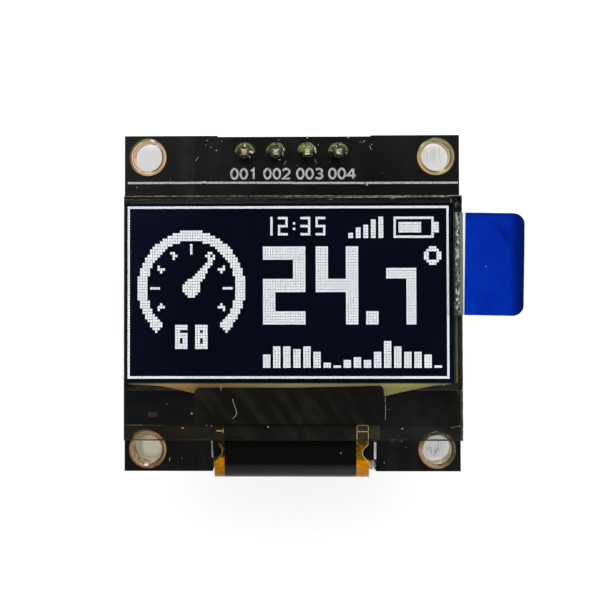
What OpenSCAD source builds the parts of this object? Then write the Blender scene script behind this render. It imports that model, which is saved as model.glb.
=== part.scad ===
// Small OLED display module: a square circuit board with a glass display panel
// taped to its front, a four-pin header soldered along its top edge, and the
// panel's flex circuit folded through a notch and soldered behind the board.
//
// Millimetres. X runs right and Y runs up towards the header edge, both seen
// from the front. +Z points out of the screen. The origin is the centre of the
// four corner holes on the board's front face.

/* [Board] */
// Width of the board
board_w = 27.3; // [27.2:0.1:29]
// Height of the board, from the flex edge to the header edge
board_h = 27.3; // [27.2:0.1:29]
// Thickness of the board
board_t = 1.2; // [0.8:0.1:1.6]
// Width of the notch in the lower edge, where the flex circuit passes
notch_w = 13.25; // [12.8:0.05:14.5]
// Depth of that notch
notch_d = 0.9; // [0.6:0.01:1.2]
// Distance of the notch's middle from the board's middle
notch_x = 0.175; // [-0.2:0.025:0.2]
// Depth of the shallow step in the top edge, where the board was snapped from its panel
snap_d = 0.09; // [0:0.01:0.15]

/* [Corner holes] */
// Spacing of the corner holes, left to right
hole_dx = 23.5; // [23:0.1:24]
// Spacing of the corner holes, bottom to top
hole_dy = 23.8; // [23:0.1:24]
// Finished diameter of the corner holes
hole_d = 2.36; // [2:0.02:2.5]
// Outer diameter of the plated ring round each corner hole
ring_d = 3.06; // [2.9:0.02:3.2]
// Thickness of the plating on the hole's wall and on both faces
plating_t = 0.05; // [0.03:0.01:0.08]

/* [Header] */
// Number of pins
pins = 4; // [2:1:6]
// Spacing of the pins
pitch = 2.54; // [2:0.01:2.54]
// Side of the square pin
pin_w = 0.64; // [0.5:0.01:0.7]
// Distance of the pins' holes from the board's top edge
pin_edge = 1.38; // [1.27:0.01:1.6]
// How far towards the glass the pins sit in their holes
pin_drop = 0.11; // [0:0.01:0.12]
// Reach of the pins in front of the board
pin_front = 1.1; // [0.9:0.1:2]
// Free length of the pins behind the plastic strip
pin_free = 6.1; // [4:0.1:9]
// Height of the plastic strip
strip_h = 2.54; // [2:0.01:2.8]
// Diameter of the solder fillet round each pin
solder_d = 1.66; // [1.4:0.02:1.9]
// Height of the solder fillet
solder_h = 0.72; // [0.4:0.02:0.85]

/* [Display panel] */
// Width of the glass
glass_w = 26.86; // [26:0.01:27]
// Height of the front glass, with the ledge that carries the driver chip
glass_h = 19.39; // [19:0.01:19.6]
// Height of the rear cap glass
cap_h = 15.51; // [15:0.01:16]
// Height of the glass's top edge above the board's middle
glass_top = 8.63; // [8.2:0.01:9]
// Distance of the glass's middle from the board's middle
glass_x = 0.07; // [-0.2:0.01:0.2]
// Thickness of the front glass
substrate_t = 0.5; // [0.4:0.05:0.7]
// Thickness of the cap glass
cap_t = 0.47; // [0.42:0.01:0.7]
// Thickness of the foam tape that holds the panel on the board
foam_t = 0.8; // [0.5:0.05:1]
// Width of the polarizer
polarizer_w = 26.03; // [25.6:0.01:26.3]
// Height of the polarizer
polarizer_h = 14.62; // [14.4:0.01:14.9]
// Thickness of the polarizer
polarizer_t = 0.2; // [0.12:0.01:0.3]
// Width of the lit area
lit_w = 25.72; // [21.7:0.01:25.8]
// Height of the lit area
lit_h = 13.8; // [10.9:0.01:13.9]
// Middle of the lit area, left to right
lit_x = -0.31; // [-0.35:0.01:0]
// Middle of the lit area, bottom to top
lit_y = 0.94; // [0.9:0.01:1.1]

/* [Flex circuit] */
// Width of the flex circuit's neck
neck_w = 12.34; // [11.5:0.01:12.6]
// Distance of the flex circuit's middle from the board's middle
flex_x = -0.05; // [-0.2:0.01:0.2]
// Width of the wide tail behind the board
tail_w = 19; // [18.6:0.1:19.6]
// Thickness of the flex circuit
flex_t = 0.1; // [0.08:0.01:0.15]
// Number of soldered contacts on the tail
contacts = 30; // [24:1:30]
// Spacing of those contacts
contact_pitch = 0.62; // [0.5:0.01:0.62]

/* [Film and tab] */
// Thickness of the clear protective film
film_t = 0.05; // [0.03:0.01:0.08]
// Height of the pull tab along the glass's edge
tab_h = 8.1; // [7:0.01:9]
// Reach of the pull tab, from the board's middle to its outer end
tab_end = 18.22; // [17:0.02:20]
// How far the tab was stuck on askew, in degrees clockwise
tab_turn = 1; // [0:0.5:2]
// Thickness of the pull tab
tab_t = 0.1; // [0.05:0.01:0.15]

/* [Hidden] */
$fn = 48;

// Ends of the shallow step in the board's top edge
snap_left = -6.07;
snap_right = 6.48;

// Pieces that repeat
CORNERS = [[-1, 1], [1, 1], [-1, -1], [1, -1]];
// Chips on the rear face: middle (x, y) and turn, on a hand-laid plan
CAPACITORS = [
    [-10.4, 3.2, 90], [-10.4, -0.2, 90], [-7.9, 3.2, 90], [-5.6, -1.6, 0],
    [-2.7, -1.6, 0], [0.2, -1.6, 0], [3.1, -1.6, 0], [10.4, 3.2, 90]
];
RESISTORS = [
    [-4.4, 3.2, 90], [-2.6, 3.2, 90], [-0.8, 3.2, 90], [1, 3.2, 90],
    [2.8, 3.2, 90], [4.6, 3.2, 90], [6, -1.6, 0], [10.4, -0.2, 90]
];
REGULATOR = [-8.4, 7.4];
DIODE = [7.6, 6.8];

// Heights of the panel's layers above the board's front face
z_seal = foam_t + cap_t;
seal_t = 0.03;
z_glass = z_seal + seal_t;
z_polarizer = z_glass + substrate_t;
z_film = z_polarizer + polarizer_t;
z_tab = z_film + film_t;

// Edges of the panel
glass_left = glass_x - glass_w / 2;
glass_bottom = glass_top - glass_h;
cap_bottom = glass_top - cap_h;
polarizer_left = glass_left + 0.08;
polarizer_top = glass_top - 0.21;
polarizer_right = polarizer_left + polarizer_w;

// The light-emitting layer reaches past the lit area by these margins, and the
// sealant round it stands clear of it
layer_left = lit_x - lit_w / 2 - 0.09;
layer_right = lit_x + lit_w / 2 + 0.35;
layer_bottom = lit_y - lit_h / 2 - 0.28;
layer_top = lit_y + lit_h / 2 + 0.2;
seal_gap = 0.01;

// The cap's etched recess and the drying sheet in it
recess_margin = 0.4;
recess_d = 0.3;
desiccant_t = 0.15;
desiccant_margin = 1.4;

// The driver chip and the tape in front of it, on the ledge
driver_w = 11.3;
driver_h = 1.1;
driver_t = 0.3;
driver_y = -8.05;
tape_w = 15;
tape_h = 2.85;
tape_t = 0.06;
tape_x = -0.24;
tape_top = -6.56;
tape_r = 0.45;

// The flex circuit's fold: it leaves the ledge, passes the notch and lies
// flat behind the board
flex_start = glass_bottom + 1.2;
fold_y = -board_h / 2 + notch_d;
fold_z = (z_glass - board_t - flex_t) / 2;
fold_r = (z_glass + board_t + flex_t) / 2;
bite_r = 0.58;
bite_y = -11.8;
shoulder_y = -10.6;
shoulder_d = 0.9;
shoulder_r = 0.6;
tail_end = -4.7;
contact_w = 0.34;
contact_h = 1.3;
contact_y = tail_end - 0.95;

// Header: the holes with their solder, and the pins and strip a little lower
hole_y = board_h / 2 - pin_edge;
pin_y = hole_y - pin_drop;
pin_tip = 0.3;
pin_tip_w = 0.36;
pin_hole_d = 1.1;
strip_corner = 0.45;
strip_w = 2.54;

// Pull tab: flat where it is stuck down, curling up at its outer end
tab_start = polarizer_right - 0.45;
tab_curl_x = tab_end - 1.98;
tab_curl_r = 6;
tab_y = 3.24;
tab_corner_r = 0.85;

// Chips, regulator and diode
chip_l = 1.6;
chip_w = 0.8;
chip_cap = 0.3;
chip_step = 0.03;
capacitor_t = 0.8;
resistor_t = 0.45;
fillet = 0.32;
reg_l = 2.9;
reg_w = 1.3;
reg_h = 1;
reg_lift = 0.08;
reg_pitch = 1.9;
reg_drop = reg_lift + reg_h * 0.4;
dio_l = 1.25;
dio_w = 1.7;
dio_h = 0.85;
dio_lift = 0.05;
dio_drop = dio_lift + dio_h * 0.4;

// x position of header pin i, from 1
function pin_x(i) = (i - (pins + 1) / 2) * pitch;

// ---- shared shapes ----

// Rectangle from one corner to the opposite one
module span(x0, x1, y0, y1) {
    translate([x0, y0]) square([x1 - x0, y1 - y0]);
}

// Flat plate of a 2D outline, from z0 upwards
module plate(z0, t) {
    translate([0, 0, z0]) linear_extrude(t) children();
}

// Rectangle w by h centred on x, hanging from y = 0, with its two upper corners round
module round_topped(w, h, r) {
    span(-w / 2, w / 2, -h, -r);
    span(-w / 2 + r, w / 2 - r, -r, 0);
    for (s = [-1, 1]) translate([s * (w / 2 - r), -r]) circle(r);
}

// Places a part on the board's rear face, built upwards from z = 0
module on_rear(place) {
    translate([place[0], place[1], -board_t])
        rotate([0, 0, len(place) > 2 ? place[2] : 0])
            mirror([0, 0, 1])
                children();
}

// ---- board ----

module board_outline() {
    difference() {
        square([board_w, board_h], center = true);
        translate([notch_x, -board_h / 2]) square([notch_w, 2 * notch_d], center = true);
        span(snap_left, snap_right, board_h / 2 - snap_d, board_h / 2 + 1);
    }
}

// The bare board: corner holes drilled for their plating, and the header's holes
module pcb() {
    color([0.1, 0.1, 0.1])
    difference() {
        plate(-board_t, board_t) board_outline();
        for (c = CORNERS)
            translate([c[0] * hole_dx / 2, c[1] * hole_dy / 2, -board_t - 1])
                cylinder(h = board_t + 2, d = hole_d + 2 * plating_t);
        for (i = [1:pins])
            translate([pin_x(i), hole_y, -board_t - 1])
                cylinder(h = board_t + 2, d = pin_hole_d);
    }
}

// The plated wall of corner hole i, with a ring on each face
module hole_plating(i) {
    r = hole_d / 2;
    color([0.78, 0.64, 0.38])
    translate([CORNERS[i - 1][0] * hole_dx / 2, CORNERS[i - 1][1] * hole_dy / 2, 0])
        rotate_extrude()
            polygon([
                [r, -board_t - plating_t], [ring_d / 2, -board_t - plating_t],
                [ring_d / 2, -board_t], [r + plating_t, -board_t],
                [r + plating_t, 0], [ring_d / 2, 0],
                [ring_d / 2, plating_t], [r, plating_t]
            ]);
}

// ---- header ----

// One pin's cell of the plastic strip, with its corners cut off
module strip_cell() {
    a = pitch / 2;
    b = strip_w / 2;
    c = strip_corner;
    polygon([
        [-a, -b + c], [-a + c, -b], [a - c, -b], [a, -b + c],
        [a, b - c], [a - c, b], [-a + c, b], [-a, b - c]
    ]);
}

module header_strip() {
    color([0.07, 0.07, 0.08])
    plate(-board_t - strip_h, strip_h)
        for (i = [1:pins])
            translate([pin_x(i), pin_y])
                difference() {
                    strip_cell();
                    square(pin_w, center = true);
                }
}

// A square pin with both ends drawn in to blunt points
module header_pin(i) {
    low = -board_t - strip_h - pin_free;
    color([0.85, 0.76, 0.5])
    translate([pin_x(i), pin_y, 0])
        hull() {
            translate([-pin_w / 2, -pin_w / 2, low + pin_tip])
                cube([pin_w, pin_w, pin_front - low - 2 * pin_tip]);
            translate([-pin_tip_w / 2, -pin_tip_w / 2, low])
                cube([pin_tip_w, pin_tip_w, pin_front - low]);
        }
}

// Solder that fills the hole round pin i and rises in a hollow-sided cone
module solder_joint(i) {
    steps = 8;
    top_r = 0.58;
    function rim(k) = solder_d / 2 - (solder_d / 2 - top_r) * sin(90 * k / steps);
    function rise(k) = solder_h * (1 - cos(90 * k / steps));
    color([0.62, 0.62, 0.6])
    translate([pin_x(i), hole_y, 0])
        difference() {
            rotate_extrude()
                polygon(concat(
                    [[0, -board_t], [pin_hole_d / 2, -board_t], [pin_hole_d / 2, 0]],
                    [for (k = [0:steps]) [rim(k), rise(k)]],
                    [[0, solder_h]]
                ));
            translate([0, -pin_drop, 0])
                cube([pin_w, pin_w, 4 * board_t], center = true);
        }
}

// ---- display panel ----

module glass_outline(h) {
    span(glass_left, glass_left + glass_w, glass_top - h, glass_top);
}

module lit_outline(margin) {
    translate([lit_x, lit_y])
        square([lit_w + 2 * margin, lit_h + 2 * margin], center = true);
}

// Double-sided foam between the board and the cap glass
module foam_tape() {
    inset = 0.55;
    color([0.12, 0.12, 0.12])
    plate(0, foam_t)
        span(glass_left + inset, glass_left + glass_w - inset,
             cap_bottom + inset, glass_top - inset);
}

// Rear glass with the etched recess that holds the drying sheet
module cap_glass() {
    color([0.3, 0.36, 0.36])
    difference() {
        plate(foam_t, cap_t) glass_outline(cap_h);
        plate(z_seal - recess_d, 1) lit_outline(-recess_margin);
    }
}

module desiccant_sheet() {
    color([0.85, 0.85, 0.8])
    plate(z_seal - recess_d, desiccant_t) lit_outline(-desiccant_margin);
}

// Outline of the light-emitting layer, grown by a margin
module layer_outline(margin) {
    span(layer_left - margin, layer_right + margin, layer_bottom - margin, layer_top + margin);
}

// Bead of sealant that joins the two glasses all round the light-emitting layer
module seal_frame() {
    color([0.24, 0.23, 0.17])
    plate(z_seal, seal_t)
        difference() {
            glass_outline(cap_h);
            layer_outline(seal_gap);
        }
}

// The light-emitting layer, on the rear of the front glass
module pixel_layer() {
    color([0.06, 0.06, 0.16])
    plate(z_seal, seal_t) layer_outline(0);
}

module substrate_glass() {
    color([0.35, 0.4, 0.4])
    plate(z_glass, substrate_t) glass_outline(glass_h);
}

module front_sheet() {
    span(polarizer_left, polarizer_right, polarizer_top - polarizer_h, polarizer_top);
}

module polarizer() {
    color([0.08, 0.08, 0.1])
    plate(z_polarizer, polarizer_t) front_sheet();
}

module protective_film() {
    color([0.75, 0.8, 0.85])
    plate(z_film, film_t) front_sheet();
}

// Tab for peeling the film off: stuck to its right edge, round-cornered and curled
module pull_tab() {
    angle = asin((tab_end - tab_curl_x) / (tab_curl_r + tab_t / 2));
    length = tab_end - tab_start;
    color([0, 0.16, 0.65])
    translate([tab_start, tab_y, 0])
    rotate([0, 0, -tab_turn])
    translate([-tab_start, -tab_y, 0])
    intersection() {
        union() {
            plate(z_tab, tab_t)
                span(tab_start, tab_curl_x, tab_y - tab_h / 2, tab_y + tab_h / 2);
            translate([tab_curl_x, tab_y, z_tab + tab_t / 2 + tab_curl_r])
                rotate([90, 0, 0])
                    rotate([0, 0, -90])
                        rotate_extrude(angle = angle)
                            translate([tab_curl_r, 0])
                                square([tab_t, tab_h], center = true);
        }
        plate(0, z_tab + tab_curl_r)
            translate([tab_end, tab_y])
                rotate([0, 0, -90])
                    round_topped(tab_h, length, tab_corner_r);
    }
}

// Bare driver chip, bonded face down on the rear of the ledge
module driver_chip() {
    color([0.25, 0.25, 0.3])
    plate(z_glass - driver_t, driver_t)
        translate([tape_x, driver_y])
            square([driver_w, driver_h], center = true);
}

// Black tape in front of the driver chip
module ledge_tape() {
    color([0.05, 0.05, 0.05])
    plate(z_polarizer, tape_t)
        translate([tape_x, tape_top])
            round_topped(tape_w, tape_h, tape_r);
}

// ---- flex circuit ----

// Front run: bonded under the ledge, with a round bite in each edge
module flex_front() {
    difference() {
        span(-neck_w / 2, neck_w / 2, fold_y, flex_start);
        for (s = [-1, 1]) translate([s * neck_w / 2, bite_y]) circle(bite_r);
    }
}

// Rear run: the neck, its two shoulders and the wide tail
module flex_tail() {
    a = neck_w / 2;
    b = tail_w / 2;
    polygon([
        [-a, fold_y], [a, fold_y], [a, shoulder_y - shoulder_d / 2],
        [a + shoulder_r, shoulder_y], [b - shoulder_r, shoulder_y],
        [b, shoulder_y + shoulder_r], [b, tail_end], [-b, tail_end],
        [-b, shoulder_y + shoulder_r], [-b + shoulder_r, shoulder_y],
        [-a - shoulder_r, shoulder_y], [-a, shoulder_y - shoulder_d / 2]
    ]);
}

module flex_circuit() {
    color([0.55, 0.36, 0.08])
    translate([flex_x, 0, 0])
    union() {
        plate(z_glass - flex_t, flex_t) flex_front();
        translate([0, fold_y, fold_z])
            rotate([0, 90, 0])
                rotate([0, 0, 180])
                    rotate_extrude(angle = 180)
                        translate([fold_r - flex_t / 2, 0])
                            square([flex_t, neck_w], center = true);
        plate(-board_t - flex_t, flex_t) flex_tail();
    }
}

// The row of soldered contacts across the tail
module flex_solder() {
    color([0.7, 0.7, 0.7])
    for (i = [1:contacts])
        translate([flex_x + (i - (contacts + 1) / 2) * contact_pitch,
                   contact_y + contact_h / 2, -board_t - flex_t])
            rotate([90, 0, 0])
                linear_extrude(contact_h)
                    difference() {
                        circle(contact_w / 2);
                        translate([0, contact_w / 2])
                            square(contact_w, center = true);
                    }
}

// ---- parts on the rear face ----

// Chip with a metal cap over each end
module chip(t) {
    body_w = chip_w - 2 * chip_step;
    translate([-chip_l / 2 + chip_cap / 2, -body_w / 2, 0])
        cube([chip_l - chip_cap, body_w, t - chip_step]);
    for (x = [-chip_l / 2, chip_l / 2 - chip_cap])
        translate([x, -chip_w / 2, 0])
            cube([chip_cap, chip_w, t]);
}

module capacitor(i) {
    color([0.72, 0.6, 0.45]) on_rear(CAPACITORS[i - 1]) chip(capacitor_t);
}

module resistor(i) {
    color([0.12, 0.12, 0.13]) on_rear(RESISTORS[i - 1]) chip(resistor_t);
}

// Solder fillets at both ends of every chip
module chip_solder() {
    color([0.7, 0.7, 0.7])
    for (place = concat(CAPACITORS, RESISTORS))
        on_rear(place)
            for (turn = [0, 180])
                rotate([0, 0, turn])
                    translate([chip_l / 2, chip_w / 2, 0])
                        rotate([90, 0, 0])
                            linear_extrude(chip_w)
                                polygon([[0, 0], [fillet, 0], [0, fillet]]);
}

// Moulded body l by w by h, raised on its leads, with drafted sides
module moulded_body(l, w, h, lift) {
    draft = 0.08;
    hull() {
        translate([-l / 2, -w / 2, lift + h * 0.4]) cube([l, w, h * 0.15]);
        translate([-l / 2 + draft, -w / 2 + draft, lift])
            cube([l - 2 * draft, w - 2 * draft, h]);
    }
}

// One bent lead, running out along +Y from y = 0 and down to the board
module gull_lead(w, reach, drop) {
    t = 0.12;
    foot = 0.35;
    translate([-w / 2, 0, 0])
        rotate([90, 0, 90])
            linear_extrude(w)
                polygon([
                    [0, drop], [0, drop + t], [reach - foot, drop + t],
                    [reach - foot + t, t], [reach, t], [reach, 0],
                    [reach - foot, 0], [reach - foot - t, drop]
                ]);
}

module regulator_body() {
    color([0.1, 0.1, 0.1]) on_rear(REGULATOR) moulded_body(reg_l, reg_w, reg_h, reg_lift);
}

module regulator_leads() {
    color([0.75, 0.75, 0.75])
    on_rear(REGULATOR) {
        for (x = [-reg_pitch / 2, reg_pitch / 2])
            translate([x, reg_w / 2, 0]) gull_lead(0.42, 0.62, reg_drop);
        rotate([0, 0, 180])
            translate([0, reg_w / 2, 0]) gull_lead(0.42, 0.62, reg_drop);
    }
}

module diode_body() {
    color([0.1, 0.1, 0.1]) on_rear(DIODE) moulded_body(dio_l, dio_w, dio_h, dio_lift);
}

module diode_leads() {
    color([0.75, 0.75, 0.75])
    on_rear(DIODE)
        for (turn = [0, 180])
            rotate([0, 0, turn])
                translate([0, dio_w / 2, 0]) gull_lead(0.32, 0.55, dio_drop);
}

// ---- the model ----

pcb();
header_strip();
foam_tape();
cap_glass();
desiccant_sheet();
seal_frame();
pixel_layer();
substrate_glass();
polarizer();
protective_film();
pull_tab();
driver_chip();
ledge_tape();
flex_circuit();
flex_solder();
regulator_body();
regulator_leads();
diode_body();
diode_leads();
chip_solder();
for (i = [1:len(CORNERS)])
    hole_plating(i);
for (i = [1:pins])
    header_pin(i);
for (i = [1:pins])
    solder_joint(i);
for (i = [1:len(CAPACITORS)])
    capacitor(i);
for (i = [1:len(RESISTORS)])
    resistor(i);
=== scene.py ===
"""Looks for the small OLED display module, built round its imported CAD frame.

The frame's axes are used throughout: X runs right and Y up, seen from the front, +Z points
out of the screen, and the board's front face is z = 0. Lengths are written in millimetres
and become metres only where a mesh, a lamp or the camera is made.
"""

import math
import random
from functools import partialmethod
from types import SimpleNamespace

import bmesh
import bpy
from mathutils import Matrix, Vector


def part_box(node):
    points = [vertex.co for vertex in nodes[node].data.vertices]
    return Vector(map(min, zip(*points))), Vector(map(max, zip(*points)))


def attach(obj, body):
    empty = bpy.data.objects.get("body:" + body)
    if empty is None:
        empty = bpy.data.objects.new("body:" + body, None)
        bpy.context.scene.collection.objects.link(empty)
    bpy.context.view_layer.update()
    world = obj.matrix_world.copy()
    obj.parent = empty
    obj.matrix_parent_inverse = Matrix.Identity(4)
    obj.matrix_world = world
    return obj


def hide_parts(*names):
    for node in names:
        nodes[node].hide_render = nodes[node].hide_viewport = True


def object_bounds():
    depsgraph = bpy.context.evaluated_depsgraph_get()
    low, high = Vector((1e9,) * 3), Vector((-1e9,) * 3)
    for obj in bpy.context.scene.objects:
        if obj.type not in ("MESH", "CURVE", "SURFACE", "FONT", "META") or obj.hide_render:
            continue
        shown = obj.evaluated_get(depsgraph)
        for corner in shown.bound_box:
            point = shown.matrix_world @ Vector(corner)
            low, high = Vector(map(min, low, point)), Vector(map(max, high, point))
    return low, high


MM = 0.001
BODY = "root"

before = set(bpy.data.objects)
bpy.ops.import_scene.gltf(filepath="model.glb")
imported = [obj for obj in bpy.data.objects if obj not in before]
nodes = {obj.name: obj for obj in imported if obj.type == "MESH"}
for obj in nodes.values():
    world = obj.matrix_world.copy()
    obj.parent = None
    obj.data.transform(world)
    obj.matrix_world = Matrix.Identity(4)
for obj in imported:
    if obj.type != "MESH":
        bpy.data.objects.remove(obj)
cad_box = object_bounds()
scene = bpy.context.scene


def extent(node):
    """A CAD node's box in millimetres, as x0, x1, y0, y1, z0, z1."""
    low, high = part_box(node)
    pairs = {}
    for axis, a, b in zip("xyz", low, high):
        pairs[axis + "0"], pairs[axis + "1"] = a / MM, b / MM
    return SimpleNamespace(**pairs)


BOARD = extent("pcb")
GLASS = extent("substrate_glass")
CAP = extent("cap_glass")
POLARIZER = extent("polarizer")
FILM = extent("protective_film")
LAYER = extent("pixel_layer")
TAB = extent("pull_tab")
TAPE = extent("ledge_tape")
FLEX = extent("flex_circuit")
HEADER = extent("header_strip")
# Numbers of the small chips of either kind, and of the holes, pins and joints
CHIPS = range(1, 9)
FOURS = range(1, 5)
FRONT = 0.0
REAR = BOARD.z0
# The corner holes: places either way from the middle, and radius inside their plating
HOLE_X, HOLE_Y, HOLE_R = 11.75, 11.9, 1.18


# ---------------------------------------------------------------- camera and studio

# The camera looks down on the board from a little above its middle, turned by a hair
CAMERA_PLACE = (0.0, 5.0, 68.0)
CAMERA_TURN = (0.016711, 0.013372, -0.00217)
LENS, SENSOR = 50.0122, 36.0
# The module's place in the picture, as shares of its width
SHIFT_X, SHIFT_Y = 0.032397, -0.120843


def add_camera():
    data = bpy.data.cameras.new("camera")
    data.sensor_width, data.lens = SENSOR, LENS
    data.shift_x, data.shift_y = SHIFT_X, SHIFT_Y
    data.clip_start, data.clip_end = 0.005, 5.0
    camera = bpy.data.objects.new("camera", data)
    camera.location = Vector(CAMERA_PLACE) * MM
    camera.rotation_euler = CAMERA_TURN
    scene.collection.objects.link(camera)
    scene.camera = camera


# Distance of each lamp from the module, and length of its sides
LAMP_DISTANCE, LAMP_SIZE = 150, 90


def add_lamp(name, azimuth, elevation, strength, color):
    """A square soft box that looks at the module. Azimuth 0 is on the -Y side, 90 on +X."""
    data = bpy.data.lights.new(name, "AREA")
    data.size, data.energy, data.color = LAMP_SIZE * MM, strength, color
    lamp = bpy.data.objects.new(name, data)
    a, e = math.radians(azimuth), math.radians(elevation)
    way = Vector((math.sin(a) * math.cos(e), -math.cos(a) * math.cos(e), math.sin(e)))
    lamp.location = way * LAMP_DISTANCE * MM
    lamp.rotation_euler = way.to_track_quat("Z", "Y").to_euler()
    scene.collection.objects.link(lamp)


def add_world():
    """White round the horizon and dark overhead, like a light tent with the camera at its top."""
    world = bpy.data.worlds.new("studio")
    scene.world = world
    world.use_nodes = True
    tree = world.node_tree
    tree.nodes.clear()
    coords = tree.nodes.new("ShaderNodeTexCoord")
    split = tree.nodes.new("ShaderNodeSeparateXYZ")
    ramp = tree.nodes.new("ShaderNodeValToRGB")
    light = tree.nodes.new("ShaderNodeBackground")
    out = tree.nodes.new("ShaderNodeOutputWorld")
    stops = ramp.color_ramp.elements
    stops[0].position, stops[0].color = 0.42, (1, 1, 1, 1)
    stops[1].position, stops[1].color = 0.93, (0.05, 0.05, 0.055, 1)
    middle = stops.new(0.72)
    middle.color = (0.42, 0.42, 0.43, 1)
    tree.links.new(coords.outputs["Generated"], split.inputs[0])
    tree.links.new(split.outputs["Z"], ramp.inputs[0])
    tree.links.new(ramp.outputs[0], light.inputs["Color"])
    tree.links.new(light.outputs[0], out.inputs[0])


# ---------------------------------------------------------------- node materials

def tone(r, g, b):
    """A colour as it looks on a screen, from 0 to 255, made linear."""
    return tuple(c / 3294.6 if c <= 10.3 else ((c / 255 + 0.055) / 1.055) ** 2.4 for c in (r, g, b))


def tones(stops):
    """Stops for a ramp, from (position, screen colour) pairs."""
    return [(position, tone(*color)) for position, color in stops]


class Shade:
    """One material, with short calls for the nodes that the looks below are made of."""

    def __init__(self, name):
        self.material = bpy.data.materials.new(name)
        self.material.use_nodes = True
        self.tree = self.material.node_tree
        self.main = self.tree.nodes["Principled BSDF"]
        self.out = self.tree.nodes["Material Output"]
        self.place = self.scaled(self.make("ShaderNodeTexCoord").outputs["Object"], 1 / MM)
        self.x, self.y, self.z = self.make("ShaderNodeSeparateXYZ", {0: self.place}).outputs

    def make(self, kind, sockets=None, **settings):
        """Adds a node. sockets maps the names or places of its inputs to what goes into them."""
        node = self.tree.nodes.new(kind)
        for key, value in settings.items():
            setattr(node, key, value)
        for key, value in (sockets or {}).items():
            self.feed(node.inputs[key], value)
        return node

    def feed(self, socket, value):
        """Links a value from another node to a socket, or sets the socket to it."""
        if isinstance(value, bpy.types.NodeSocket):
            self.tree.links.new(value, socket)
        elif isinstance(value, (tuple, list)) and len(value) == 3 and len(socket.default_value) == 4:
            socket.default_value = (*value, 1)
        else:
            socket.default_value = value

    def paint(self, color, rough, gloss=0.5, metal=0.0):
        """Sets the main shader's colour, roughness, specular level and metalness."""
        values = {"Base Color": color, "Roughness": rough, "Specular IOR Level": gloss, "Metallic": metal}
        for key, value in values.items():
            self.feed(self.main.inputs[key], value)

    def math(self, operation, a, b=0.0, c=0.0):
        """Gives the result of one sum. madd is a times b, plus c."""
        return self.make("ShaderNodeMath", {0: a, 1: b, 2: c}, operation=operation).outputs[0]

    mul = partialmethod(math, "MULTIPLY")
    add = partialmethod(math, "ADD")
    sub = partialmethod(math, "SUBTRACT")
    most = partialmethod(math, "MAXIMUM")
    madd = partialmethod(math, "MULTIPLY_ADD")

    def mix(self, share, a, b):
        """Colour a where share is 0 and b where it is 1."""
        return self.make("ShaderNodeMix", {0: share, 6: a, 7: b}, data_type="RGBA").outputs[2]

    def fade(self, value, low, high, a, b):
        """Colour a where value is under low and b where it is over high."""
        return self.mix(self.steps(value, low, high), a, b)

    def scaled(self, color, factor):
        """A colour or place, times a factor."""
        node = self.make("ShaderNodeVectorMath", {0: color, "Scale": factor}, operation="SCALE")
        return node.outputs[0]

    def ramp(self, value, stops):
        """Colour that runs through (position, colour) stops, in rising order."""
        node = self.make("ShaderNodeValToRGB", {0: value})
        elements = node.color_ramp.elements
        for element, (position, color) in zip(elements, (stops[0], stops[-1])):
            element.position, element.color = position, (*color, 1)
        for position, color in stops[1:-1]:
            elements.new(position).color = (*color, 1)
        return node.outputs[0]

    def polar(self, x, y):
        """Distance from a point of the board, and the bearing from it, 0 to 1 from left by the bottom."""
        dx, dy = self.sub(self.x, x), self.sub(self.y, y)
        squares = self.add(self.mul(dx, dx), self.mul(dy, dy))
        turn = self.math("ARCTAN2", dy, dx)
        return self.math("SQRT", squares), self.madd(turn, 0.5 / math.pi, 0.5)

    def swirl(self, x, y):
        """Coordinates round a centre, so that noise runs in arcs about it."""
        distance, bearing = self.polar(x, y)
        sockets = {0: self.mul(distance, 2.0), 1: self.mul(bearing, 3.0)}
        return self.make("ShaderNodeCombineXYZ", sockets).outputs[0]

    def spot(self, x, y, rx, ry):
        """1 inside an ellipse at (x, y), fading at its edge."""
        a = self.math("DIVIDE", self.sub(self.x, x), rx)
        b = self.math("DIVIDE", self.sub(self.y, y), ry)
        away = self.madd(a, a, self.mul(b, b))
        return self.steps(away, 0.4, 1.3, 1.0, 0.0)

    def noise(self, scale, detail=3.0, rough=0.55, stretch=(1, 1, 1), seed=0.0, place=None):
        """Noise from 0 to 1, with scale in features per millimetre."""
        sockets = {0: place or self.place, 1: stretch, 2: (seed, seed * 0.7, seed * 0.3)}
        stretched = self.make("ShaderNodeVectorMath", sockets, operation="MULTIPLY_ADD").outputs[0]
        sockets = {"Vector": stretched, "Scale": scale, "Detail": detail, "Roughness": rough}
        return self.make("ShaderNodeTexNoise", sockets).outputs[0]

    def streaks(self):
        """Noise drawn out along lines that run down to the right, for slanting streaks of painted sheen."""
        lean, along, across = 0.75, 0.12, 0.75
        right, up = self.madd(self.y, lean, self.x), self.madd(self.x, -lean, self.y)
        sockets = {0: self.mul(right, across), 1: self.mul(up, along)}
        return self.noise(1.0, 2.0, 0.55, place=self.make("ShaderNodeCombineXYZ", sockets).outputs[0])

    def steps(self, value, low, high, out_low=0.0, out_high=1.0):
        """value carried smoothly from low..high to out_low..out_high, and held outside."""
        sockets = dict(enumerate((value, low, high, out_low, out_high)))
        return self.make("ShaderNodeMapRange", sockets, interpolation_type="SMOOTHSTEP").outputs[0]

    def band(self, value, low, high, soft):
        """1 between low and high and 0 outside, with soft edges."""
        up = self.steps(value, low - soft, low + soft)
        down = self.steps(value, high - soft, high + soft, 1.0, 0.0)
        return self.mul(up, down)

    def bump(self, height, strength, distance=0.02):
        """Adds a bump from a height of 0 to 1, distance millimetres deep. Gives the finished material."""
        sockets = {"Strength": strength, "Distance": distance * MM, "Height": height}
        self.feed(self.main.inputs["Normal"], self.make("ShaderNodeBump", sockets).outputs[0])
        return self.material

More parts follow.
